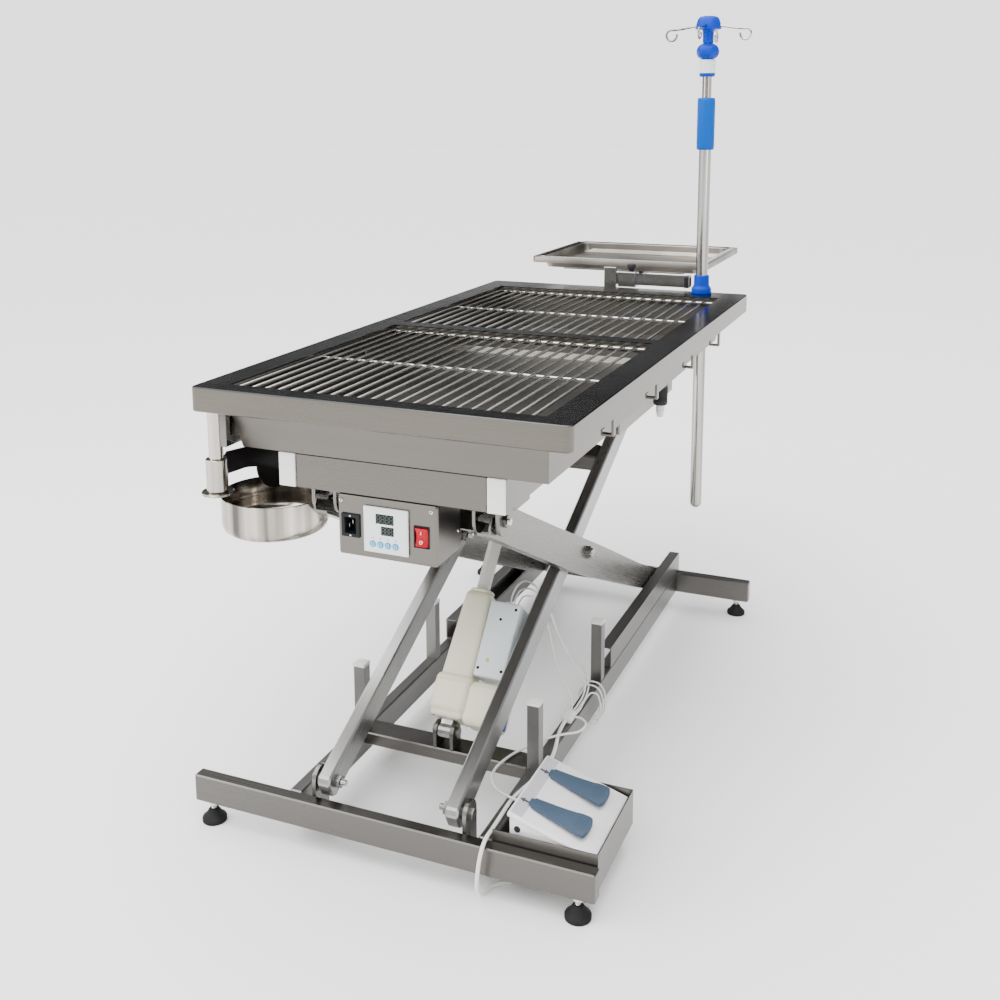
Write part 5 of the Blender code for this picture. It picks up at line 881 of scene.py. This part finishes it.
# Grids: round stainless rods along the table, welded on three cross rods each. Each grid
# rests on the ledge of its opening and lifts out for cleaning.
def rod_between(shape, start_point, end_point, radius, segments=10):
    """Add a straight round rod with softened ends to a shape."""
    run = Vector(end_point) - Vector(start_point)
    turned = run.to_track_quat("Z", "Y").to_matrix().to_4x4()
    middle = (Vector(start_point) + Vector(end_point)) / 2
    made = bmesh.ops.create_cone(shape, cap_ends=True, segments=segments, radius1=radius, radius2=radius,
                                 depth=run.length, matrix=Matrix.Translation(middle) @ turned)
    caps = {edge for vertex in made["verts"] for edge in vertex.link_edges if len(edge.link_faces) == 2
            and any(len(face.verts) == segments for face in edge.link_faces)}
    bmesh.ops.bevel(shape, geom=list(caps), offset=radius * 0.3, offset_type="OFFSET", affect="EDGES", segments=2,
                    profile=0.5, material=-1, clamp_overlap=True)


rod_steel, start = start_finish("grid_rod_steel")
rod_shade = noise(start, (60, 6, 60), 1.0, 3.0)
end_finish(start, {
    "Base Color": between(start, rod_shade, (0.42, 0.42, 0.40), (0.64, 0.64, 0.61)),
    "Metallic": 1.0,
    "Roughness": rod_shade * 0.12 + 0.17,
    "Normal": bumped(start, noise(start, (300, 6, 300), 1.0, 2.0), 0.04, 0.0002),
})
for end, body, y0, y1 in (("near", "near_grid", 0.0370, 0.5690), ("far", "far_grid", 0.6060, 1.1050)):
    grid = bmesh.new()
    for number in range(-11, 12):
        rod_between(grid, at(number * 0.0225, y0, 0.7138), at(number * 0.0225, y1, 0.7138), 0.0024)
    for y in (y0 + 0.004, (y0 + y1) / 2, y1 - 0.004):
        rod_between(grid, at(-0.2514, y, 0.7095), at(0.2514, y, 0.7095), 0.0025)
        for number in range(-11, 12):
            weld = bmesh.ops.create_icosphere(grid, subdivisions=1, radius=1.0)
            place = Matrix.Translation(at(number * 0.0225, y, 0.7116)) @ Matrix.Diagonal((0.0034, 0.0034, 0.0018, 1.0))
            bmesh.ops.transform(grid, matrix=place, verts=weld["verts"])
    keep(f"grid_rods_{end}", grid, rod_steel, body, (f"grid_{end}",))

# Washing basin: a folded and welded tub under the whole opening, shallower at the far end,
# with a drain near the far right and two rivets high on the left wall of each half.
basin_steel = brushed("basin_inner_steel", 0.15, "X", 0.34, 0.10, 0.11)
dress(basin_steel, "basin")
for number, (y, z) in enumerate(((0.455, 0.690), (0.475, 0.668), (0.985, 0.690), (1.005, 0.672))):
    screw_head(f"basin_rivet_{number}", at(-0.2515, y, z), (1, 0, 0), 0.0048, 0.0022, plated, "top_frame", 0.0012)

# Drain: a steel pipe welded into the floor of the basin, and a black moulded screw cap with
# a ribbed grip and a spout for a hose.
cap_plastic = moulded("drain_cap_plastic", (0.022, 0.022, 0.024), roughness=0.40, depth=0.15, ior=1.25)
cap_profile = [
    (0.0103, 0.6120), (0.0130, 0.6120), (0.0135, 0.6115), (0.0135, 0.6095), (0.0128, 0.6085), (0.0128, 0.5870),
    (0.0135, 0.5860), (0.0135, 0.5765), (0.0128, 0.5745), (0.0115, 0.5732), (0.0045, 0.5730), (0.0045, 0.5960),
    (0.0103, 0.5960),
]
drain_shape = lathe([(r, z) for r, z in cap_profile], at(0.228, 0.725, 0.0), 48, True)
keep("drain_cap_moulding", drain_shape, cap_plastic, "drain_outlet", ("drain_cap",))
spout_profile = [
    (0.0045, 0.5729), (0.0082, 0.5728), (0.0078, 0.5720), (0.0078, 0.5690), (0.0084, 0.5680), (0.0078, 0.5670),
    (0.0078, 0.5640), (0.0084, 0.5630), (0.0078, 0.5620), (0.0078, 0.5590), (0.0066, 0.5562), (0.0062, 0.5505),
    (0.0058, 0.5500), (0.0045, 0.5500),
]
keep("drain_spout", lathe(spout_profile, at(0.228, 0.725, 0.0), 48, True),
     moulded("drain_spout_plastic", (0.74, 0.76, 0.74), roughness=0.30, coat=0.2), "drain_outlet")
for number in range(18):
    angle = math.radians(20 * number)
    rib = bmesh.new()
    rod_between(rib, (0.0128, 0, 0.5880), (0.0128, 0, 0.6075), 0.0009, 8)
    bmesh.ops.transform(rib, matrix=Matrix.Translation(at(0.228, 0.725, 0)) @ Matrix.Rotation(angle, 4, "Z"), verts=rib.verts)
    keep(f"drain_cap_rib_{number:02d}", rib, cap_plastic, "drain_outlet")

# Drip pole: a polished tube that slides in a blue socket, with a blue grip, a thinner mast
# inside it, a pale collar, a blue locking knob, and a blue cap that carries four hooks.
pole_chrome, start = start_finish("pole_chrome")
hazy = noise(start, (30, 30, 3), 1.0, 3.0)
reflections = noise(start, (62, 62, 0.5), 1.0, 2.0)
end_finish(start, {
    "Base Color": between(start, reflections * 2.6 - 0.75, (0.10, 0.095, 0.09), (0.66, 0.64, 0.60)),
    "Metallic": 1.0,
    "Roughness": hazy * 0.10 + 0.12,
    "Normal": bumped(start, noise(start, (260, 260, 6), 1.0, 2.0), 0.03, 0.0002),
})
pole_blue = moulded("pole_blue", (0.0005, 0.036, 0.40), roughness=0.34, grain=300.0, depth=0.01, dust=0.0, ior=1.22)
grip_blue = moulded("grip_blue", (0.0005, 0.080, 0.42), roughness=0.46, grain=300.0, depth=0.01, dust=0.0, ior=1.18)
collar_white = moulded("collar_white", (0.72, 0.82, 0.80), roughness=0.40, coat=0.1)
px, py = 0.2013, 1.163
socket_profile = [
    (0.0133, 0.7620), (0.0146, 0.7620), (0.0158, 0.7612), (0.0166, 0.7590), (0.0168, 0.7400), (0.0176, 0.7380),
    (0.0200, 0.7345), (0.0214, 0.7325), (0.0220, 0.7300), (0.0220, 0.7220), (0.0214, 0.7213), (0.0133, 0.7213),
]
keep("pole_socket", lathe(socket_profile, at(px, py, 0), 56, True), pole_blue, "top_frame", ("iv_socket",))
outer_profile = [(0.0103, 1.1398), (0.0126, 1.1398), (0.0130, 1.1394), (0.0130, 0.2390)]
outer_profile += [(0.0130 * math.cos(math.radians(a)), 0.2390 - 0.0130 * math.sin(math.radians(a))) for a in (15, 30, 45, 60, 75)]
outer_profile += [(0.0, 0.2260)]
outer_pole = lathe([(0.0, 0.4500), (0.0103, 0.4500)] + outer_profile, at(px, py, 0), 56)
keep("pole_outer_tube", outer_pole, pole_chrome, "drip_pole", ("iv_outer_pole",))
grip_profile = [(0.0103, 1.1458), (0.0160, 1.1458), (0.0176, 1.1448), (0.0186, 1.1425), (0.0190, 1.1380)]
grip_profile += [(0.0190, 1.0420), (0.0184, 1.0372), (0.0172, 1.0352), (0.0133, 1.0352), (0.0133, 1.1403), (0.0103, 1.1403)]
keep("pole_grip", lathe(grip_profile, at(px, py, 0), 56, True), grip_blue, "drip_pole", ("iv_grip",))
mast_profile = [(0.0, 1.3030), (0.0054, 1.3030), (0.0054, 1.2262), (0.0100, 1.2262), (0.0100, 0.4805), (0.0, 0.4805)]
keep("pole_mast", lathe(mast_profile, at(px, py, 0), 48), pole_chrome, "drip_mast", ("iv_inner_pole",))
collar_profile = [(0.0100, 1.2258), (0.0150, 1.2258), (0.0164, 1.2245), (0.0170, 1.2225), (0.0170, 1.1975), (0.0100, 1.1975)]
keep("mast_collar", lathe(collar_profile, at(px, py, 0), 48, True), collar_white, "drip_mast")
rim_profile = [(0.0100, 1.1976), (0.0170, 1.1976), (0.0170, 1.1945), (0.0164, 1.1915), (0.0150, 1.1900), (0.0100, 1.1900)]
keep("mast_collar_rim", lathe(rim_profile, at(px, py, 0), 48, True), pole_blue, "drip_mast")

knob_shape = lathe([(0.0058, 1.2597), (0.0100, 1.2597), (0.0125, 1.2590), (0.0178, 1.2560), (0.0222, 1.2510), (0.0243, 1.2450),
                    (0.0245, 1.2420), (0.0238, 1.2370), (0.0208, 1.2315), (0.0150, 1.2275), (0.0115, 1.2264), (0.0058, 1.2264)],
                   (0, 0, 0), 72, True)
for vertex in knob_shape.verts:
    reach = math.hypot(vertex.co.x, vertex.co.y)
    if reach > 0.0115:
        lobe = 1 - 0.045 * (0.5 - 0.5 * math.cos(6 * math.atan2(vertex.co.y, vertex.co.x))) * (reach - 0.0115) / 0.0105
        vertex.co.x *= lobe
        vertex.co.y *= lobe
bmesh.ops.translate(knob_shape, verts=knob_shape.verts, vec=at(px, py, 0))
keep("mast_lock_knob", knob_shape, pole_blue, "mast_knob", ("iv_lock_knob",))

head_shape = lathe([(0.0, 1.3165), (0.0120, 1.3162), (0.0185, 1.3145), (0.0225, 1.3105), (0.0252, 1.3030), (0.0272, 1.2945),
                    (0.0278, 1.2905), (0.0268, 1.2886), (0.0150, 1.2880), (0.0122, 1.2850), (0.0116, 1.2740), (0.0116, 1.2660),
                    (0.0116, 1.2620), (0.0112, 1.2602), (0.0058, 1.2602), (0.0058, 1.3050), (0.0, 1.3050)], (0, 0, 0), 72)
for vertex in head_shape.verts:
    reach = math.hypot(vertex.co.x, vertex.co.y)
    if reach > 0.0160 and vertex.co.z > 1.288:
        lobe = 1 - 0.06 * (0.5 - 0.5 * math.cos(6 * math.atan2(vertex.co.y, vertex.co.x))) * min(1.0, (reach - 0.0160) / 0.006)
        vertex.co.x *= lobe
        vertex.co.y *= lobe
bmesh.ops.translate(head_shape, verts=head_shape.verts, vec=at(px, py, 0))
hook_head = keep("hook_cap", head_shape, pole_blue, "drip_hooks", ("iv_hook_head",))
for number in range(4):
    turn = math.radians(90 * number)
    flat = [(0.0105, 1.2975), (0.0300, 1.2950), (0.0520, 1.2912), (0.0660, 1.2895)]
    flat += [(0.0795 + 0.0115 * math.cos(math.radians(a)), 1.2775 + 0.0115 * math.sin(math.radians(a))) for a in range(78, -196, -16)]
    wire_line = smooth_line([at(px + r * math.cos(turn), py + r * math.sin(turn), z) for r, z in flat], 0.0022)
    hook = round_line(f"drip_hook_{number}", wire_line, 0.0023, pole_chrome, 3)
    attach(hook, "drip_hooks")

# Instrument tray: a box bar on a bracket at the far end of the top, a carrier that slides on
# the bar and is held by a black knob, and a pressed steel pan with a rolled rim.
dress(fine_steel, "tray_bracket", "tray_carrier")
bar_cap_shape = slab((0.1545, 1.1892, 0.7258), (0.1670, 1.2134, 0.7522), 0.0022, 4)
keep("tray_bar_cap", bar_cap_shape, cap_plastic, "top_frame")


def loop_of_plate(shape, x0, x1, y0, y1, radius, z, steps=10):
    """A closed loop of points round a plate with rounded corners."""
    points = []
    for corner, (cx, cy) in enumerate(((x1 - radius, y1 - radius), (x0 + radius, y1 - radius),
                                       (x0 + radius, y0 + radius), (x1 - radius, y0 + radius))):
        for number in range(steps):
            angle = math.radians(90 * corner + 90 * number / (steps - 1))
            points.append(shape.verts.new(at(cx + radius * math.cos(angle), cy + radius * math.sin(angle), z)))
    return points


pan_steel, start = start_finish("tray_pan_steel")
pan_place = start.node("ShaderNodeTexCoord", result="Object")
on_rim = start.node("ShaderNodeSeparateXYZ", {}, {0: pan_place}, "Z") > 0.7744
pan_lines = noise(start, (9, 420, 420), 1.0, 2.0)
# Painted reflection: high-contrast clouds on the pan stand in for its reflections, and the rolled rim is painted near
# black for its dark reflection.
pan_reflection_clouds = noise(start, (6, 9, 9), 1.0, 2.0)
pan_tone = between(start, pan_reflection_clouds * 2.2 - 0.6, (0.10, 0.095, 0.09), (0.38, 0.345, 0.30))
end_finish(start, {
    "Base Color": start.node("ShaderNodeMix", {"data_type": "RGBA"}, {0: on_rim, 6: pan_tone, 7: (0.06, 0.06, 0.06, 1.0)}, 2),
    "Metallic": 1.0,
    "Roughness": (1 - on_rim) * 0.24 + pan_lines * 0.10 + 0.10,
    "Normal": bumped(start, pan_lines, 0.05, 0.0003),
})
pan = bmesh.new()
pan_loops = [
    (-0.2035, 0.1685, 1.2685, 1.5735, 0.020, 0.7480), (-0.2055, 0.1705, 1.2665, 1.5755, 0.022, 0.7492),
    (-0.2085, 0.1735, 1.2635, 1.5785, 0.023, 0.7727), (-0.2280, 0.1930, 1.2440, 1.5980, 0.011, 0.7732),
    (-0.2282, 0.1932, 1.2438, 1.5982, 0.011, 0.7612), (-0.2299, 0.1949, 1.2421, 1.5999, 0.012, 0.7612),
    (-0.2300, 0.1950, 1.2420, 1.6000, 0.012, 0.7738), (-0.2292, 0.1942, 1.2428, 1.5992, 0.012, 0.7750),
    (-0.2120, 0.1770, 1.2600, 1.5820, 0.018, 0.7750), (-0.2108, 0.1758, 1.2612, 1.5808, 0.019, 0.7742),
    (-0.2045, 0.1695, 1.2675, 1.5745, 0.020, 0.7506), (-0.2025, 0.1675, 1.2695, 1.5725, 0.020, 0.7495),
]
rings = [loop_of_plate(pan, *sizes) for sizes in pan_loops]
for lower, upper in zip(rings, rings[1:]):
    for number in range(len(lower)):
        pan.faces.new((lower[number - 1], lower[number], upper[number], upper[number - 1]))
pan.faces.new(rings[0])
pan.faces.new(rings[-1])
keep("tray_pan_pressed", pan, pan_steel, "pan", ("tray_pan",), sharp=50.0)
knob_profile = [(0.0, 0.7740), (0.0060, 0.7740), (0.0086, 0.7732), (0.0100, 0.7715), (0.0105, 0.7690), (0.0105, 0.7640),
                (0.0098, 0.7622), (0.0070, 0.7608), (0.0060, 0.7600), (0.0060, 0.7568), (0.0, 0.7568)]
tray_knob = lathe(knob_profile, (0, 0, 0), 60)
for vertex in tray_knob.verts:
    reach = math.hypot(vertex.co.x, vertex.co.y)
    if reach > 0.0085:
        lobe = 1 - 0.07 * (0.5 - 0.5 * math.cos(10 * math.atan2(vertex.co.y, vertex.co.x)))
        vertex.co.x *= lobe
        vertex.co.y *= lobe
bmesh.ops.translate(tray_knob, verts=tray_knob.verts, vec=at(0.0300, 1.2013, 0))
keep("tray_lock_knob", tray_knob, cap_plastic, "carrier_knob", ("tray_knob",))

# Bucket: a spun steel bowl with a flat base, hung by a bright tab on a gusset plate coloured near black for painted
# shade and dark reflection, whose sleeve turns on a post under the near left corner of the top.
post_x, post_y = -0.279, 0.030
bowl_steel, start = start_finish("bowl_steel")
spun = noise(start, (12, 12, 520), 1.0, 2.0)
# Painted reflection: tall streaks of strong contrast in the colour stand in for the reflections of the polished bowl,
# post and sleeve.
reflection_streaks = noise(start, (34, 34, 0.4), 1.0, 2.0)
end_finish(start, {
    "Base Color": between(start, reflection_streaks * 3.4 - 1.25, (0.09, 0.085, 0.08), (0.66, 0.61, 0.54)),
    "Metallic": 1.0,
    "Roughness": spun * 0.08 + 0.14,
    "Normal": bumped(start, spun, 0.05, 0.0002),
})
keep("bucket_post_tube", lathe([(0.0, 0.7177), (0.0110, 0.7177), (0.0110, 0.5532), (0.0238, 0.5532), (0.0245, 0.5526), (0.0245, 0.5496),
                                (0.0238, 0.5490), (0.0, 0.5490)], at(post_x, post_y, 0), 56),
     bowl_steel, "top_frame", ("bucket_post",))
keep("bucket_post_plate", slab((post_x + 0.008, post_y - 0.004, 0.6250), (-0.2565, post_y + 0.036, 0.6800), 0.0012), arm_b_steel, "top_frame")
keep("bucket_post_strut", slab((post_x - 0.004, post_y + 0.006, 0.6400), (-0.2565, post_y + 0.012, 0.6700), 0.0008), arm_b_steel, "top_frame")
sleeve = lathe([(0.0113, 0.5535), (0.0158, 0.5535), (0.0165, 0.5542), (0.0165, 0.6038), (0.0158, 0.6045), (0.0113, 0.6045)],
               at(post_x, post_y, 0), 56, True)
keep("bucket_sleeve", sleeve, bowl_steel, "bucket_swing", ("bucket_arm",))
bucket_middle = Vector((-0.2496, 0.140))
tab_direction = Vector((0.10, 0.995)).normalized()
tab_middle = bucket_middle + tab_direction * 0.0873
arm_line = tab_middle - Vector((post_x, post_y))
arm_length, arm_turn = arm_line.length, math.atan2(arm_line.y, arm_line.x)
outline = [(0.0145, 0.6030), (0.0220, 0.6100), (arm_length, 0.6000), (arm_length, 0.5242), (0.130, 0.5242)]
outline += [(0.130 - 0.046 * math.sin(math.radians(a)), 0.5242 + 0.046 * (1 - math.cos(math.radians(a)))) for a in range(10, 91, 10)]
outline += [(0.060, 0.5750), (0.0145, 0.5750)]
# Painted shade and dark reflection: the gusset's near-black colour stands in for the dark look of a shadowed, polished
# plate.
gusset_painted_dark = moulded("gusset_painted_shade", (0.008, 0.007, 0.007), roughness=0.38, grain=300.0, depth=0.08, ior=1.2)
gusset = bmesh.new()
corners = [gusset.verts.new((along, -0.002, z)) for along, z in outline]
gusset_face = gusset.faces.new(corners)
thick = bmesh.ops.extrude_face_region(gusset, geom=[gusset_face])
bmesh.ops.translate(gusset, verts=[v for v in thick["geom"] if isinstance(v, bmesh.types.BMVert)], vec=(0, 0.004, 0))
soften(gusset, 0.0006, 2, 50.0)
bmesh.ops.transform(gusset, matrix=Matrix.Translation(at(post_x, post_y, 0)) @ Matrix.Rotation(arm_turn, 4, "Z"), verts=gusset.verts)
keep("bucket_gusset", gusset, gusset_painted_dark, "bucket_swing")
tab = bmesh.new()
bmesh.ops.create_cube(tab, size=1.0, matrix=Matrix.Translation((0, 0, 0.525)) @ Matrix.Diagonal((0.003, 0.036, 0.090, 1.0)))
soften(tab, 0.0007, 2)
tab_place = Matrix.Translation(at(tab_middle.x, tab_middle.y, 0)) @ Matrix.Rotation(math.atan2(tab_direction.y, tab_direction.x), 4, "Z")
bmesh.ops.transform(tab, matrix=tab_place, verts=tab.verts)
keep("bucket_tab", tab, fine_steel, "bucket_swing")
bowl_profile = [
    (0.0, 0.4655), (0.0700, 0.4655), (0.0770, 0.4668), (0.0815, 0.4710), (0.0836, 0.4780), (0.0840, 0.4860), (0.0840, 0.5195),
    (0.0846, 0.5202), (0.0848, 0.5222), (0.0853, 0.5227), (0.0858, 0.5224), (0.0860, 0.5214), (0.0858, 0.5204), (0.0855, 0.5196),
    (0.0855, 0.4860), (0.0851, 0.4770), (0.0828, 0.4692), (0.0776, 0.4650), (0.0715, 0.4637), (0.0620, 0.4637), (0.0600, 0.4645), (0.0, 0.4645),
]
keep("bucket_bowl", lathe(bowl_profile, at(bucket_middle.x, bucket_middle.y, 0), 96), bowl_steel, "bucket_swing", ("bucket",), sharp=50.0)

# Foot switch: a white wedge-shaped case with an overhanging lid, a grey label strip with an
# arrow for each way, and two slate-blue pedals. It sits in a folded tray beside the rail.
tray_steel = brushed("switch_tray_steel", 0.18, "X", 0.30, 0.10, 0.08)
dress(tray_steel, "footswitch_tray")
case_white = moulded("switch_case_white", (0.80, 0.79, 0.80), roughness=0.36, grain=700.0, depth=0.06, dust=0.03, coat=0.2)
slope = (0.086 - 0.127) / (0.327 - 0.194)
tilt = math.atan(slope)


def wedge(x0, x1, y0, y1, foot, rise, width, segments=3):
    """A block whose top follows the slope of the switch, a set rise above it."""
    shape = slab((x0, y0, foot), (x1, y1, 0.5))
    for vertex in shape.verts:
        if vertex.co.z > 0.2:
            vertex.co.z = 0.127 + slope * (vertex.co.x - 0.194) + rise
    return soften(shape, width, segments)


keep("switch_case_lower", wedge(0.1955, 0.3255, 0.0400, 0.2010, 0.0419, -0.0070, 0.0030), case_white, "base", ("footswitch_body",))
lid = bmesh.new()
lid_size = Vector((0.133 / math.cos(tilt), 0.167, 0.0075))
bmesh.ops.create_cube(lid, size=1.0, matrix=Matrix.Diagonal((*lid_size, 1.0)))
soften(lid, 0.0026, 4)
lid_place = Matrix.Translation(at(0.2605 + math.sin(tilt) * 0.0036, 0.1205, 0.1065 - 0.0037)) @ Matrix.Rotation(-tilt, 4, "Y")
bmesh.ops.transform(lid, matrix=lid_place, verts=lid.verts)
keep("switch_case_lid", lid, case_white, "base")
strip_grey = moulded("label_strip_grey", (0.50, 0.48, 0.53), roughness=0.42, depth=0.04)


def on_lid(shape, x, y, rise):
    """Lay a flat shape on the sloping lid of the switch."""
    place = at(x, y, 0.127 + slope * (x - 0.194) + rise)
    bmesh.ops.transform(shape, matrix=Matrix.Translation(place) @ Matrix.Rotation(-tilt, 4, "Y"), verts=shape.verts)
    return shape


strip = bmesh.new()
bmesh.ops.create_cube(strip, size=1.0, matrix=Matrix.Diagonal((0.0185, 0.158, 0.0006, 1.0)))
soften(strip, 0.0002, 1)
keep("switch_label_strip", on_lid(strip, 0.2060, 0.1205, 0.0002), strip_grey, "base")
arrow_ink = moulded("arrow_ink", (0.07, 0.07, 0.08), roughness=0.5, depth=0.03)
for name, y, way in (("up", 0.0780, -1), ("down", 0.1620, 1)):
    arrow = bmesh.new()
    corners = [(-0.0062, -0.0016), (0.0004, -0.0016), (0.0004, -0.0042), (0.0066, 0.0), (0.0004, 0.0042), (0.0004, 0.0016), (-0.0062, 0.0016)]
    face = arrow.faces.new([arrow.verts.new((way * x * 1.2, z * 1.3, 0.0)) for x, z in corners])
    raised = bmesh.ops.extrude_face_region(arrow, geom=[face])
    bmesh.ops.translate(arrow, verts=[v for v in raised["geom"] if isinstance(v, bmesh.types.BMVert)], vec=(0, 0, 0.0004))
    keep(f"switch_arrow_{name}", on_lid(arrow, 0.2055, y, 0.0004), arrow_ink, "base")
side_hole = lathe([(0.0, 0.0), (0.0042, 0.0), (0.0050, 0.0004), (0.0050, 0.0010), (0.0, 0.0012)], (0, 0, 0), 28)
keep("switch_side_hole", turn_to(side_hole, at(0.2080, 0.0402, 0.1010), (0, -1, 0)), socket_dark, "base")

pedal_blue = moulded("pedal_slate_blue", (0.055, 0.085, 0.130), roughness=0.46, grain=500.0, depth=0.20, dust=0.07, ior=1.3)
pedal_edge = [
    (0.2135, 0.0062), (0.2160, 0.0074), (0.2178, 0.0074), (0.2184, 0.0108), (0.2290, 0.0130), (0.2450, 0.0158), (0.2620, 0.0184),
    (0.2780, 0.0208), (0.2850, 0.0222), (0.2920, 0.0236), (0.3000, 0.0238), (0.3036, 0.0210), (0.3052, 0.0150), (0.3060, 0.0080),
]
for side, body, y in (("near", "near_pedal", 0.0780), ("far", "far_pedal", 0.1620)):
    pedal = bmesh.new()
    edge_line = pedal_edge + [(x, -half) for x, half in reversed(pedal_edge)]
    face = pedal.faces.new([pedal.verts.new((x, half, 0.0)) for x, half in edge_line])
    raised = bmesh.ops.extrude_face_region(pedal, geom=[face])
    bmesh.ops.translate(pedal, verts=[v for v in raised["geom"] if isinstance(v, bmesh.types.BMVert)], vec=(0, 0, 0.0046))
    for cut_x in (0.2200, 0.2500, 0.2760, 0.2800, 0.2835, 0.2990):
        bmesh.ops.bisect_plane(pedal, geom=[*pedal.verts, *pedal.edges, *pedal.faces], dist=1e-7, plane_co=(cut_x, 0, 0), plane_no=(1, 0, 0))
    soften(pedal, 0.0009, 2, 50.0)
    for vertex in pedal.verts:
        x = vertex.co.x
        lifted = 0.0008 + 0.0062 * (x - 0.2135) / 0.0925
        dish = 0.0011 * math.sin(math.pi * min(1.0, max(0.0, (x - 0.2200) / 0.0600))) if vertex.co.z > 0.003 else 0.0
        step = 0.0008 * min(1.0, max(0.0, (x - 0.2800) / 0.0035)) if vertex.co.z > 0.003 else 0.0
        vertex.co = at(x, y + vertex.co.y, vertex.co.z + 0.127 + slope * (x - 0.194) + lifted - dish + step)
    keep(f"pedal_{side}_tread", pedal, pedal_blue, body, (f"pedal_{side}",))
    for number in range(4):
        x = 0.2862 + number * 0.0040
        rib = slab((x - 0.0006, y - 0.0170, 0.0), (x + 0.0006, y + 0.0170, 0.0012), 0.0004, 2)
        lift_here = 0.127 + slope * (x - 0.194) + 0.0008 + 0.0062 * (x - 0.2135) / 0.0925 + 0.0046 + 0.0008
        bmesh.ops.translate(rib, verts=rib.verts, vec=(0, 0, lift_here - 0.0008))
        keep(f"pedal_{side}_rib_{number}", rib, pedal_blue, body)
